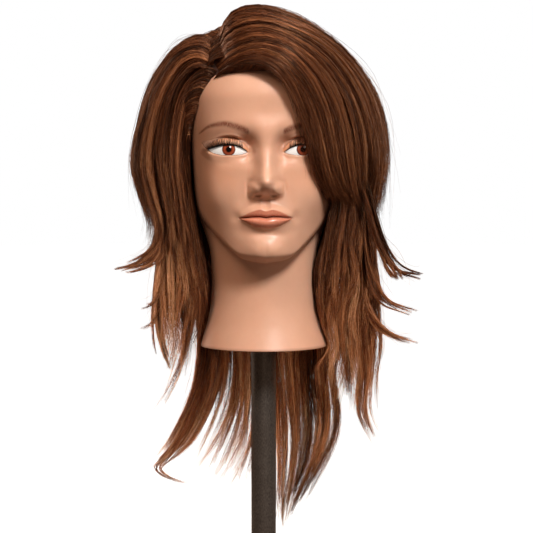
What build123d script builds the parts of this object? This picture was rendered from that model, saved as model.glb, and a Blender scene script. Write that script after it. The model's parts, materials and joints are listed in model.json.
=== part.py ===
"""Mannequin training head on a tube post with a table clamp.

Frame: origin on the post's axis, on the plane of the table top (the face of the fixed jaw's pad).
+Z is up, the face looks along -Y, and +X is the head's own left. Millimetres.
"""
from build123d import *
from math import copysign, cos, sin, pi, radians
import os

os.makedirs("parts", exist_ok=True)

# ---------------------------------------------------------------- shared dimensions
NECK_Z = 250.0           # height of the neck's lower rim
SKIN = 4.0               # vinyl wall
INNER_DROP = 2.0         # inner forms start this far below the rim

TUBE_R = 12.5            # post tube, 25 mm outside
TUBE_WALL = 1.5
TUBE_BOTTOM, TUBE_TOP = 60.0, 340.0
SPIGOT_R = TUBE_R - TUBE_WALL - 0.03    # ends that plug into the tube
PIN_AT = (0, TUBE_BOTTOM + 14)          # roll pin's axis in the YZ plane
PIN_HOLE_R = 2.5

PIVOT_Z = 38.0           # tilt axis, along X
PIVOT = (0, PIVOT_Z)     # the same in the YZ plane
TILT_R = 4.0             # tilt bolt
FORK_GAP = 18.0          # between the fork's cheeks
FORK_T = 8.0             # thickness of a cheek
FORK_FACE = FORK_GAP / 2 + FORK_T       # outer face of a cheek
FRICTION_T = 0.9         # friction washer
WASHER_GAP = 0.05        # play on each side of a washer
BORE_FIT = 0.06          # radial clearance of bolt, screw and bar holes

JAW_W = 26.0             # clamp frame width, along X
PAD_T = 2.0              # rubber jaw pad
PAD_PLAY = 0.02
SCREW_AT = (0, 8.0)      # clamp screw's axis in the XY plane
SCREW_R = 6.0

# Outer form of the head. Columns: height above the neck rim, half width, front y, back y,
# superellipse exponent of the front half
FORM = [
    (0.0, 63.0, -62.0, 64.0, 2.0),
    (10.0, 60.3, -58.5, 62.0, 2.0),
    (25.0, 56.0, -54.0, 60.0, 2.0),
    (45.0, 52.6, -50.5, 58.0, 2.0),
    (62.0, 52.0, -49.5, 57.5, 2.0),
    (76.0, 52.4, -52.0, 58.5, 1.95),
    (86.0, 52.8, -60.0, 60.5, 1.8),
    (95.0, 53.8, -72.0, 64.0, 1.75),
    (105.0, 56.5, -79.5, 68.0, 1.8),
    (117.0, 60.5, -82.0, 74.0, 1.9),
    (131.0, 65.5, -82.0, 81.0, 2.0),
    (150.0, 68.8, -81.0, 89.0, 2.1),
    (172.0, 70.8, -81.5, 96.0, 2.15),
    (196.0, 72.6, -83.5, 101.0, 2.2),
    (220.0, 74.6, -87.5, 103.0, 2.25),
    (245.0, 75.4, -87.5, 101.0, 2.25),
    (265.0, 73.0, -82.5, 95.0, 2.2),
    (283.0, 66.5, -72.5, 84.5, 2.1),
    (298.0, 56.5, -59.0, 70.0, 2.0),
    (309.0, 43.5, -43.0, 53.0, 2.0),
    (317.0, 27.0, -25.0, 34.0, 2.0),
    (321.0, 12.0, -10.0, 16.0, 2.0),
]
OUTLINE_POINTS = 20      # points round one section
CROWN_START = 280        # above this the form also grows upwards


# ---------------------------------------------------------------- helpers
# The head helpers take heights above the neck rim and add NECK_Z themselves.
def form_outline(row, growth):
    """Points of one horizontal section of the head, grown outwards."""
    _, half_width, front_y, back_y, exponent = row
    half_width, front_y, back_y = half_width + growth, front_y - growth, back_y + growth
    points = []
    for i in range(OUTLINE_POINTS):
        angle = 2 * pi * i / OUTLINE_POINTS
        across, along = cos(angle), sin(angle)
        if along < 0:
            power = 2.0 / exponent
            x = half_width * copysign(abs(across) ** power, across)
            y = front_y * abs(along) ** power
        else:
            x, y = half_width * across, back_y * along
        points.append((x, y))
    return points


def head_form(growth, drop=0.0):
    """The head's outer form grown as one solid, its lowest section lowered by drop."""
    top = FORM[-1][0]
    with BuildPart() as form:
        for row in FORM:
            height = row[0]
            z = NECK_Z + height
            if row is FORM[0]:
                z -= drop
            if height > CROWN_START:
                z += growth * (height - CROWN_START) / (top - CROWN_START)
            with BuildSketch(Plane.XY.offset(z)):
                with BuildLine():
                    Spline(*form_outline(row, growth), periodic=True)
                make_face()
        loft()
    return form.part


def block(x_range, y_range, heights):
    """A plain box between two corners."""
    (x0, x1), (y0, y1), (low, high) = x_range, y_range, heights
    with BuildPart() as box:
        with BuildSketch(Plane.XY.offset(NECK_Z + low)):
            with Locations(((x0 + x1) / 2, (y0 + y1) / 2)):
                Rectangle(x1 - x0, y1 - y0)
        extrude(amount=high - low)
    return box.part


def ellipse_loft(rows):
    """A loft through ellipses: (height, centre x, centre y, half x, half y, turn in degrees)."""
    with BuildPart() as mass:
        for height, x, y, half_x, half_y, turn in rows:
            with BuildSketch(Plane.XY.offset(NECK_Z + height)):
                with Locations((x, y)):
                    Ellipse(half_x, half_y, rotation=turn)
        loft()
    return mass.part


def ellipsoid(centre, half_sizes):
    """An ellipsoid, as a scaled sphere."""
    x, y, height = centre
    with BuildPart() as ball:
        Sphere(1.0)
        scale(by=half_sizes)
    return ball.part.moved(Location((x, y, NECK_Z + height)))


def ear_pair(half_sizes):
    """Left and right ellipsoids centred on the ears."""
    return [ellipsoid((side * 73.0, 12.0, 184.0), half_sizes) for side in (1, -1)]


def carve(body, *cuts):
    """The body with each of the cuts taken away in turn."""
    with BuildPart() as piece:
        add(body)
        for cut in cuts:
            add(cut, mode=Mode.SUBTRACT)
    return piece.part


def ring(plane, centre, outer, bore, length):
    """A plain ring extruded from the plane."""
    with BuildPart() as piece:
        with BuildSketch(plane):
            with Locations(centre):
                Circle(outer)
                Circle(bore, mode=Mode.SUBTRACT)
        extrude(amount=length)
    return piece.part


def save(body, name):
    body.label = name
    export_step(body, f"parts/{name}.step")


# ---------------------------------------------------------------- eye inserts
EYE_X, EYE_Y, EYE_HEIGHT = 36.2, -70.5, 196.5
EYE_HALF = (18.0, 6.2, 6.4)      # half sizes along X, Y and Z
SIDES = ((1, "left"), (-1, "right"))


def eye_ball(side, growth=0.0):
    """The full ellipsoid of one eye, grown for pockets and clearances."""
    return ellipsoid((side * EYE_X, EYE_Y, EYE_HEIGHT), tuple(half + growth for half in EYE_HALF))


def eye(side):
    """An eye insert with its back cut flat."""
    behind = block((side * EYE_X - 30, side * EYE_X + 30), (EYE_Y + 0.5, EYE_Y + 30),
                   (EYE_HEIGHT - 20, EYE_HEIGHT + 20))
    return carve(eye_ball(side), behind)


eye_pockets = [eye_ball(side, 0.12) for side, _ in SIDES]

# ---------------------------------------------------------------- upper eyelash strips
LID_TURN = radians(29.5)         # the lid faces this far outwards
LID_Y = -75.9
LASH_CLEAR = 1.8                 # the strip stands this far off the skin
LASH_OUTER_R, LASH_INNER_R = 23.5, 21.0
LASH_T = 1.5


def upper_lashes(side):
    """A crescent band on the lid, its ends trimmed square."""
    lid = Plane(
        origin=(side * EYE_X + side * LASH_CLEAR * sin(LID_TURN),
                LID_Y - LASH_CLEAR * cos(LID_TURN), NECK_Z + EYE_HEIGHT),
        x_dir=(cos(LID_TURN), side * sin(LID_TURN), 0),
        z_dir=(side * sin(LID_TURN), -cos(LID_TURN), 0))
    with BuildPart() as lashes:
        with BuildSketch(lid):
            with Locations((0, -12.0)):
                Circle(LASH_OUTER_R)
                Circle(LASH_INNER_R, mode=Mode.SUBTRACT)
            with Locations((0, -17.0)):
                Rectangle(60, 40, mode=Mode.SUBTRACT)
            with Locations((-24.5, 0), (24.5, 0)):
                Rectangle(20, 40, mode=Mode.SUBTRACT)
        extrude(amount=LASH_T)
        add(eye_ball(side, 0.4), mode=Mode.SUBTRACT)
    return lashes.part


for side, side_name in SIDES:
    save(eye(side), f"{side_name}_eye")
    save(upper_lashes(side), f"{side_name}_upper_lashes")

# ---------------------------------------------------------------- head skin: face, ears and neck
nose = ellipse_loft([
    (151, 0, -84.0, 13.5, 12.0, 0),
    (157, 0, -87.0, 14.5, 15.5, 0),
    (165, 0, -88.0, 10.5, 17.5, 0),
    (180, 0, -84.0, 7.5, 13.0, 0),
    (198, 0, -79.0, 6.5, 9.5, 0),
    (214, 0, -76.0, 8.0, 9.0, 0),
])
upper_lip = ellipsoid((0, -79.5, 135.0), (22.0, 8.0, 4.6))
lower_lip = ellipsoid((0, -79.5, 127.0), (18.5, 8.6, 5.4))
chin = ellipsoid((0, -66.0, 104.0), (24.0, 20.0, 14.0))
skin_solids = [head_form(0.0), nose, upper_lip, lower_lip, chin, *ear_pair((5.0, 15.0, 28.0))]
skin_cuts = [head_form(-SKIN, INNER_DROP), *eye_pockets]

with BuildPart() as head_skin:
    for solid in skin_solids:
        add(solid)
    for cut in skin_cuts:
        add(cut, mode=Mode.SUBTRACT)
save(head_skin.part, "head_skin")

# ---------------------------------------------------------------- scalp cap the hair is rooted in
CAP_T = 1.8
CAP_GAP = 0.4            # between skin and cap
save(carve(
    head_form(CAP_GAP + CAP_T),
    head_form(CAP_GAP),
    block((-90, 90), (-120, -40), (-5, 268)),           # opening for the face
    block((-120, 120), (-120, 130), (-5, 128)),         # everything below the cap
    *ear_pair((8.0, 17.0, 30.0)),
), "scalp_cap")

# ---------------------------------------------------------------- foam core
SOCKET_R = 18.0          # neck socket, outside
SOCKET_FIT = 0.15        # radial clearance round the socket
BORE_R = 12.58           # socket bore, runs on the tube
BORE_TOP = 353.5         # closed end of the bore
SOCKET_TOP = BORE_TOP + 4.5
FOAM_CUT_Z = NECK_Z - 10
FOAM_BOTTOM = NECK_Z + 12

with BuildPart() as foam_core:
    add(head_form(-SKIN - 0.4, INNER_DROP))
    with BuildSketch(Plane.XY.offset(FOAM_CUT_Z)):
        Rectangle(200, 200)
    extrude(amount=FOAM_BOTTOM - FOAM_CUT_Z, mode=Mode.SUBTRACT)
    with BuildSketch(Plane.XY.offset(NECK_Z)):
        Circle(SOCKET_R + SOCKET_FIT)
    extrude(amount=SOCKET_TOP + 0.2 - NECK_Z, mode=Mode.SUBTRACT)
save(foam_core.part - eye_pockets[0] - eye_pockets[1], "foam_core")

# ---------------------------------------------------------------- neck socket, base plate and screws
PLATE_BOTTOM = 2.0       # heights above the neck rim
PLATE_TOP = 6.0
SOCKET_BOTTOM_Z = NECK_Z + 1.0
FLANGE_Z = NECK_Z + PLATE_TOP + 0.1
FLANGE_R, FLANGE_T = 30.0, 4.0
RIB_L, RIB_W, RIB_H = 13.0, 2.4, 1.7
RIB_RING = 22.5          # radius to the middle of a rib
SCREW_RING = 25.0        # radius of the screw pattern
HEAD_Z = NECK_Z + 0.2    # underside of the screw heads
HEAD_R, HEAD_H = 3.3, 1.8
SLOT_L, SLOT_W = 3.4, 0.8

with BuildPart() as neck_socket:
    with BuildSketch(Plane.XY.offset(SOCKET_BOTTOM_Z)):
        Circle(SOCKET_R)
    extrude(amount=SOCKET_TOP - SOCKET_BOTTOM_Z)
    with BuildSketch(Plane.XY.offset(FLANGE_Z)):
        Circle(FLANGE_R)
    extrude(amount=FLANGE_T)
    # ribs on top of the flange
    with BuildSketch(Plane.XY.offset(FLANGE_Z + FLANGE_T)):
        with PolarLocations(0, 6):
            with Locations((RIB_RING, 0)):
                Rectangle(RIB_L, RIB_W)
    extrude(amount=RIB_H)
    with BuildSketch(Plane.XY.offset(NECK_Z - 1)):
        Circle(BORE_R)
    extrude(amount=BORE_TOP - NECK_Z + 1, mode=Mode.SUBTRACT)
    # blind screw holes in the flange
    with BuildSketch(Plane.XY.offset(NECK_Z + 5)):
        with PolarLocations(SCREW_RING, 4, start_angle=45):
            Circle(1.72)
    extrude(amount=4.0, mode=Mode.SUBTRACT)
    chamfer(neck_socket.edges().filter_by(GeomType.CIRCLE).group_by(Axis.Z)[0], 0.6)
save(neck_socket.part, "neck_socket")

below_plate = block((-90, 90), (-90, 90), (-10, PLATE_BOTTOM))
above_plate = block((-130, 130), (-130, 140), (PLATE_TOP, 400))
with BuildPart() as neck_base_plate:
    add(head_form(-SKIN - 0.2, INNER_DROP))
    add(below_plate, mode=Mode.SUBTRACT)
    add(above_plate, mode=Mode.SUBTRACT)
    with BuildSketch(Plane.XY.offset(NECK_Z)):
        Circle(SOCKET_R + SOCKET_FIT)
        with PolarLocations(SCREW_RING, 4, start_angle=45):
            Circle(1.9)
    extrude(amount=10, mode=Mode.SUBTRACT)
save(neck_base_plate.part, "neck_base_plate")

with BuildPart() as base_plate_screws:
    with BuildSketch(Plane.XY.offset(HEAD_Z)):
        with PolarLocations(SCREW_RING, 4, start_angle=45):
            Circle(HEAD_R)
    extrude(amount=HEAD_H)
    fillet(base_plate_screws.edges().filter_by(GeomType.CIRCLE).group_by(Axis.Z)[0], 0.9)
    with BuildSketch(Plane.XY.offset(HEAD_Z + HEAD_H)):
        with PolarLocations(SCREW_RING, 4, start_angle=45):
            Circle(1.7)
    extrude(amount=6.8)
    # cross recesses
    with BuildSketch(Plane.XY.offset(HEAD_Z)):
        with PolarLocations(SCREW_RING, 4, start_angle=45):
            Rectangle(SLOT_L, SLOT_W)
            Rectangle(SLOT_W, SLOT_L)
    extrude(amount=1.0, mode=Mode.SUBTRACT)
save(base_plate_screws.part, "base_plate_screws")

# ---------------------------------------------------------------- post tube
with BuildPart() as post_tube:
    with BuildSketch(Plane.XY.offset(TUBE_BOTTOM)):
        Circle(TUBE_R)
        Circle(TUBE_R - TUBE_WALL, mode=Mode.SUBTRACT)
    extrude(amount=TUBE_TOP - TUBE_BOTTOM)
    with BuildSketch(Plane.YZ):
        with Locations(PIN_AT):
            Circle(PIN_HOLE_R)
    extrude(amount=30, both=True, mode=Mode.SUBTRACT)
save(post_tube.part, "post_tube")

# ---------------------------------------------------------------- post top: plug, drag ring, washer
PLUG_IN, PLUG_OUT = 20, 12       # plug length inside and above the tube
GROOVE_Z = TUBE_TOP + 4.6
GROOVE_H = 2.2

with BuildPart() as post_top_plug:
    with BuildSketch(Plane.XY.offset(TUBE_TOP - PLUG_IN)):
        Circle(SPIGOT_R)
    extrude(amount=PLUG_IN)
    with BuildSketch(Plane.XY.offset(TUBE_TOP)):
        Circle(12.3)
    extrude(amount=PLUG_OUT)
    chamfer(post_top_plug.edges().filter_by(GeomType.CIRCLE).group_by(Axis.Z)[-1], 1.0)
    # groove for the drag ring
    with BuildSketch(Plane.XY.offset(GROOVE_Z)):
        Circle(12.6)
        Circle(10.7, mode=Mode.SUBTRACT)
    extrude(amount=GROOVE_H, mode=Mode.SUBTRACT)
    chamfer(post_top_plug.edges().filter_by(GeomType.CIRCLE).group_by(Axis.Z)[0], 1.2)
save(post_top_plug.part, "post_top_plug")

with BuildPart() as drag_ring:
    with BuildSketch(Plane.XZ):
        with Locations((11.62, GROOVE_Z + GROOVE_H / 2)):
            Circle(0.86)
    revolve(axis=Axis.Z)
save(drag_ring.part, "drag_ring")

save(ring(Plane.XY.offset(TUBE_TOP + PLUG_OUT + 0.03), (0, 0),
          outer=10.8, bore=4.0, length=1.42), "thrust_washer")

# ---------------------------------------------------------------- post foot and roll pin
TONGUE_T = FORK_GAP - 2 * (FRICTION_T + 2 * WASHER_GAP)
TONGUE_R = 12.0
TONGUE_H = 20.0          # straight part above the tilt axis
COLLAR_Z = PIVOT_Z + 18
PIN_L = 24.8

with BuildPart() as post_foot:
    with BuildSketch(Plane.YZ.offset(-TONGUE_T / 2)):
        with Locations(PIVOT):
            Circle(TONGUE_R)
        with Locations((0, PIVOT_Z + TONGUE_H / 2)):
            Rectangle(2 * TONGUE_R, TONGUE_H)
    extrude(amount=TONGUE_T)
    with BuildSketch(Plane.XY.offset(COLLAR_Z)):
        Circle(TUBE_R)
    extrude(amount=TUBE_BOTTOM - COLLAR_Z)
    with BuildSketch(Plane.XY.offset(TUBE_BOTTOM)):
        Circle(SPIGOT_R)
    extrude(amount=30)
    chamfer(post_foot.edges().filter_by(GeomType.CIRCLE).group_by(Axis.Z)[-1], 1.5)
    for centre, radius in ((PIVOT, TILT_R + BORE_FIT), (PIN_AT, PIN_HOLE_R)):
        with BuildSketch(Plane.YZ):
            with Locations(centre):
                Circle(radius)
        extrude(amount=30, both=True, mode=Mode.SUBTRACT)
save(post_foot.part, "post_foot")

with BuildPart() as roll_pin:
    with BuildSketch(Plane.YZ.offset(-PIN_L / 2)):
        with Locations(PIN_AT):
            Circle(PIN_HOLE_R - 0.03)
            Circle(1.4, mode=Mode.SUBTRACT)
            with Locations((0, 2.0)):       # slit along the top
                Rectangle(0.5, 2.4, mode=Mode.SUBTRACT)
    extrude(amount=PIN_L)
save(roll_pin.part, "roll_pin")

# ---------------------------------------------------------------- clamp frame with its fork
THROAT_Y = -26           # inner face of the spine
# outline of the C seen along X, as (y, z)
FRAME_OUTLINE = [
    (-44, 10), (-38, 16), (50, 16), (54, 12), (54, PAD_T), (THROAT_Y, PAD_T), (THROAT_Y, -64),
    (26, -64), (30, -68), (30, -74), (26, -78), (-36, -78), (-44, -70),
]
SPINE_GROOVE_DEPTH = 3
CHEEK_R = 14.0           # fork cheek, round the tilt axis
CHEEK_FOOT_Z = 19

with BuildPart() as clamp_frame:
    with BuildSketch(Plane.YZ.offset(-JAW_W / 2)) as side_view:
        with BuildLine():
            Polyline(*FRAME_OUTLINE, close=True)
        make_face()
        # the sketch's own Y is the frame's Z: these are the lowest corners
        fillet(side_view.vertices().group_by(Axis.Y)[0], 5)
    extrude(amount=JAW_W)
    # corners of the throat, then the outline on both side faces
    fillet(clamp_frame.edges().filter_by(Axis.X).filter_by(
        lambda edge: abs(edge.center().Y - THROAT_Y) < 0.1), 6)
    fillet(clamp_frame.edges().filter_by(GeomType.LINE).filter_by(
        lambda edge: abs(abs(edge.center().X) - JAW_W / 2) < 0.1), 2.0)
    # grooves in both sides of the spine
    for side in (1, -1):
        with BuildSketch(Plane.YZ.offset(side * (JAW_W / 2 - SPINE_GROOVE_DEPTH))):
            with Locations((-35, -31)):
                SlotOverall(62, 8, rotation=90)
        extrude(amount=side * 8, mode=Mode.SUBTRACT)
    # screw boss and its bore
    with BuildSketch(Plane.XY.offset(-81)):
        with Locations(SCREW_AT):
            Circle(12.5)
    extrude(amount=19.5)
    with BuildSketch(Plane.XY.offset(-90)):
        with Locations(SCREW_AT):
            Circle(SCREW_R + BORE_FIT)
    extrude(amount=40, mode=Mode.SUBTRACT)
    # fork base, cheeks and tilt bore
    with BuildSketch(Plane.XY.offset(15)):
        RectangleRounded(2 * FORK_FACE, 34, 4)
    extrude(amount=5)
    for cheek_x in (FORK_GAP / 2, -FORK_FACE):
        with BuildSketch(Plane.YZ.offset(cheek_x)):
            with Locations(PIVOT):
                Circle(CHEEK_R)
            with Locations((0, (PIVOT_Z + CHEEK_FOOT_Z) / 2)):
                Rectangle(2 * CHEEK_R, PIVOT_Z - CHEEK_FOOT_Z)
        extrude(amount=FORK_T)
    with BuildSketch(Plane.YZ):
        with Locations(PIVOT):
            Circle(TILT_R + BORE_FIT)
    extrude(amount=40, both=True, mode=Mode.SUBTRACT)
save(clamp_frame.part, "clamp_frame")

with BuildPart() as upper_jaw_pad:
    with BuildSketch(Plane.XY):
        with Locations((0, 17)):
            RectangleRounded(JAW_W - 2, 70, 3)
    extrude(amount=PAD_T - PAD_PLAY)
save(upper_jaw_pad.part, "upper_jaw_pad")

# ---------------------------------------------------------------- tilt lock
BOLT_HEAD_T = 5.3
BOLT_SHANK_X = -FORK_FACE - 0.1          # underside of the bolt head
WASHER_BORE = TILT_R + 0.08
KNOB_WASHER_T = 1.5
KNOB_X = FORK_FACE + WASHER_GAP + KNOB_WASHER_T + 0.1
KNOB_BORE_R, KNOB_BORE_L = 6.5, 13       # blind seat for the insert

with BuildPart() as tilt_bolt:
    with BuildSketch(Plane.YZ.offset(BOLT_SHANK_X - BOLT_HEAD_T)):
        with Locations(PIVOT):
            RegularPolygon(7.5, 6)
    extrude(amount=BOLT_HEAD_T)
    with BuildSketch(Plane.YZ.offset(BOLT_SHANK_X)):
        with Locations(PIVOT):
            Circle(TILT_R)
    extrude(amount=2 * FORK_FACE + 13.8)
    chamfer(tilt_bolt.edges().filter_by(GeomType.CIRCLE).sort_by(Axis.X)[-1], 0.8)
save(tilt_bolt.part, "tilt_bolt")

with BuildPart() as friction_washers:
    for washer_x in (-FORK_GAP / 2 + WASHER_GAP, FORK_GAP / 2 - WASHER_GAP - FRICTION_T):
        with BuildSketch(Plane.YZ.offset(washer_x)):
            with Locations(PIVOT):
                Circle(11.0)
                Circle(WASHER_BORE, mode=Mode.SUBTRACT)
        extrude(amount=FRICTION_T)
save(friction_washers.part, "friction_washers")

save(ring(Plane.YZ.offset(FORK_FACE + WASHER_GAP), PIVOT,
          outer=8.5, bore=WASHER_BORE, length=KNOB_WASHER_T), "knob_washer")

with BuildPart() as tilt_knob:
    with BuildSketch(Plane.YZ.offset(KNOB_X)):
        with Locations(PIVOT):
            Circle(9.5)
    extrude(amount=7)
    # five-lobed grip
    with BuildSketch(Plane.YZ.offset(KNOB_X + 5)):
        with Locations(PIVOT):
            Circle(15.0)
            with PolarLocations(14.5, 5, start_angle=90):
                Circle(5.5)
    extrude(amount=13)
    fillet(tilt_knob.edges().group_by(Axis.X)[-1], 2.0)
    with BuildSketch(Plane.YZ.offset(KNOB_X)):
        with Locations(PIVOT):
            Circle(KNOB_BORE_R)
    extrude(amount=KNOB_BORE_L, mode=Mode.SUBTRACT)
save(tilt_knob.part, "tilt_knob")

save(ring(Plane.YZ.offset(KNOB_X), PIVOT,
          outer=KNOB_BORE_R - 0.03, bore=TILT_R + 0.05, length=KNOB_BORE_L - 0.1), "knob_insert")

# ---------------------------------------------------------------- pressure pad and its facing
PRESSURE_TOP = -34.0     # top face of the facing at rest
PRESSURE_R = 16.0
PRESSURE_BOTTOM = PRESSURE_TOP - 12
PRESSURE_STEP = 5        # height of the boss and of the disc above it
FACING_T = PAD_T - PAD_PLAY

with BuildPart() as pressure_pad:
    for z, radius in ((PRESSURE_BOTTOM, PRESSURE_R - 4),
                      (PRESSURE_BOTTOM + PRESSURE_STEP, PRESSURE_R)):
        with BuildSketch(Plane.XY.offset(z)):
            with Locations(SCREW_AT):
                Circle(radius)
        extrude(amount=PRESSURE_STEP)
    chamfer(pressure_pad.edges().filter_by(GeomType.CIRCLE).group_by(Axis.Z)[0], 1.0)
    # bore for the screw's nose, then the wider recess for the retaining ring
    for z, radius, depth in ((PRESSURE_BOTTOM, 4.56, 7.5), (PRESSURE_BOTTOM + 3, 6.6, 2.5)):
        with BuildSketch(Plane.XY.offset(z)):
            with Locations(SCREW_AT):
                Circle(radius)
        extrude(amount=depth, mode=Mode.SUBTRACT)
save(pressure_pad.part, "pressure_pad")

with BuildPart() as pressure_pad_facing:
    with BuildSketch(Plane.XY.offset(PRESSURE_TOP - FACING_T)):
        with Locations(SCREW_AT):
            Circle(PRESSURE_R - 0.5)
    extrude(amount=FACING_T)
    chamfer(pressure_pad_facing.edges().filter_by(GeomType.CIRCLE).group_by(Axis.Z)[-1], 0.5)
save(pressure_pad_facing.part, "pressure_pad_facing")

# ---------------------------------------------------------------- clamp screw and retaining ring
HUB_BOTTOM, HUB_TOP = -128.0, -110.0
HUB_R = 9.5
NOSE_Z = PRESSURE_BOTTOM - 0.2           # where the screw steps down to its nose
RING_Z = PRESSURE_TOP - 8.4
BAR_R, BAR_L = 4.0, 96.0                 # tommy bar
BAR_Z = (HUB_BOTTOM + HUB_TOP) / 2
BAR_AT = (SCREW_AT[1], BAR_Z)            # bar's axis in the YZ plane

with BuildPart() as clamp_screw:
    for z, radius, length in ((HUB_TOP, SCREW_R, NOSE_Z - HUB_TOP), (NOSE_Z, 4.5, 7.4)):
        with BuildSketch(Plane.XY.offset(z)):
            with Locations(SCREW_AT):
                Circle(radius)
        extrude(amount=length)
    # groove for the retaining ring
    with BuildSketch(Plane.XY.offset(RING_Z - 0.2)):
        with Locations(SCREW_AT):
            Circle(5.0)
            Circle(3.6, mode=Mode.SUBTRACT)
    extrude(amount=1.6, mode=Mode.SUBTRACT)
    with BuildSketch(Plane.XY.offset(HUB_BOTTOM)):
        with Locations(SCREW_AT):
            Circle(HUB_R)
    extrude(amount=HUB_TOP - HUB_BOTTOM)
    chamfer(clamp_screw.edges().filter_by(GeomType.CIRCLE).filter_by(
        lambda edge: abs(edge.radius - HUB_R) < 0.01), 1.2)
    with BuildSketch(Plane.YZ):
        with Locations(BAR_AT):
            Circle(BAR_R + BORE_FIT)
    extrude(amount=20, both=True, mode=Mode.SUBTRACT)
save(clamp_screw.part, "clamp_screw")

with BuildPart() as pad_retaining_ring:
    with BuildSketch(Plane.XY.offset(RING_Z)):
        with Locations(SCREW_AT):
            Circle(6.3)
            Circle(3.7, mode=Mode.SUBTRACT)
        with Locations((4.5, SCREW_AT[1])):     # gap on the +X side
            Rectangle(6.0, 2.0, mode=Mode.SUBTRACT)
    extrude(amount=1.2)
save(pad_retaining_ring.part, "pad_retaining_ring")

# ---------------------------------------------------------------- tommy bar and its ball ends
BALL_R = 6.6

with BuildPart() as tommy_bar:
    with BuildSketch(Plane.YZ.offset(-BAR_L / 2)):
        with Locations(BAR_AT):
            Circle(BAR_R)
    extrude(amount=BAR_L)
save(tommy_bar.part, "tommy_bar")

with BuildPart() as tommy_bar_caps:
    for side in (1, -1):
        # half disc, turned about the bar's axis
        with BuildSketch(Plane.XY.offset(BAR_Z)):
            with Locations((side * (BAR_L / 2 - 1.0), SCREW_AT[1])):
                Circle(BALL_R)
                with Locations((0, -BALL_R / 2)):
                    Rectangle(14, BALL_R, mode=Mode.SUBTRACT)
        revolve(axis=Axis((0, *BAR_AT), (1, 0, 0)))
    with BuildSketch(Plane.YZ.offset(-BAR_L / 2 - 0.03)):
        with Locations(BAR_AT):
            Circle(BAR_R + 0.02)
    extrude(amount=BAR_L + 0.06, mode=Mode.SUBTRACT)
save(tommy_bar_caps.part, "tommy_bar_caps")

# ---------------------------------------------------------------- hair over the scalp
HAIR_IN = 2.9            # hair starts this far outside the skin
HAIR_T = 13.0
HAIR_FACE_Y = -36        # front edge of the hair beside the face
PART_X = -42.0           # parting, on the head's right
CROWN_Y = 62             # top hair in front, crown hair behind
WIDE_X = (-130, 130)
WIDE_Y = (-130, 140)
TALL = (-300, 400)

hair_shell = carve(
    head_form(HAIR_IN + HAIR_T),
    head_form(HAIR_IN),
    block(WIDE_X, (-130, HAIR_FACE_Y), (-300, 270)),    # opening for the face
    block(WIDE_X, WIDE_Y, (-300, 190)),                 # everything below the shell
    *ear_pair((9.0, 18.0, 31.0)),
)
right_of_part = block((-130, PART_X), WIDE_Y, TALL)
left_of_part = block((PART_X, 130), WIDE_Y, TALL)
back_zone = block(WIDE_X, (CROWN_Y, 150), TALL)
front_zone = block(WIDE_X, (-150, CROWN_Y), TALL)

save(carve(hair_shell, right_of_part, back_zone), "hair_top_left")
save(carve(hair_shell, left_of_part, back_zone), "hair_top_right")
save(carve(hair_shell, front_zone), "hair_crown_back")

# ---------------------------------------------------------------- swept fringe on the head's left
fringe = carve(
    ellipse_loft([
        (269.8, 52, -72, 34, 11, 28),
        (250, 58, -72, 34, 12, 30),
        (215, 68, -64, 32, 15, 34),
        (180, 76, -56, 28, 16, 38),
        (150, 82, -46, 24, 15, 42),
        (122, 86, -36, 16, 11, 46),
    ]),
    head_form(8.0),
    block((20, 160), (HAIR_FACE_Y - 0.1, 60), (0, 300)),
)
# the cuts can leave slivers: keep the main mass
save(max(fringe.solids(), key=lambda solid: solid.volume), "hair_fringe")

# ---------------------------------------------------------------- hanging hair
# Rows as in ellipse_loft; all hang from just under the shell.
HANGING_HAIR = {
    "hair_side_left": [
        (189.8, 97, 2, 16, 38, 0),
        (130, 106, 6, 24, 37, 0),
        (70, 116, 10, 33, 32, 0),
        (10, 116, 16, 34, 24, 0),
        (-30, 108, 20, 12, 10, 0),
    ],
    "hair_side_right": [
        (189.8, -99, 2, 18, 38, 0),
        (130, -108, 6, 26, 37, 0),
        (80, -112, 10, 34, 32, 0),
        (20, -98, 16, 22, 24, 0),
        (-40, -92, 20, 10, 10, 0),
    ],
    "hair_back_centre": [
        (189.8, 0, 114.5, 58, 9, 0),
        (130, 0, 96, 54, 9, 0),
        (60, 0, 77, 48, 9, 0),
        (-10, 0, 74, 42, 9, 0),
        (-80, -4, 70, 34, 9, 0),
        (-148, 0, 64, 12, 5, 0),
    ],
    "hair_back_left": [
        (189.8, 86, 74, 17, 20, 0),
        (130, 88, 70, 22, 17, 0),
        (60, 84, 66, 25, 14, 0),
        (-10, 84, 62, 28, 12, 0),
        (-90, 68, 60, 24, 9, 0),
        (-172, 34, 58, 8, 4, 0),
    ],
    "hair_back_right": [
        (189.8, -86, 74, 17, 20, 0),
        (130, -88, 70, 22, 17, 0),
        (60, -84, 66, 25, 14, 0),
        (-10, -82, 62, 27, 12, 0),
        (-70, -86, 60, 26, 9, 0),
        (-118, -98, 58, 12, 4, 0),
    ],
}
for name, rows in HANGING_HAIR.items():
    save(ellipse_loft(rows), name)
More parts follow.
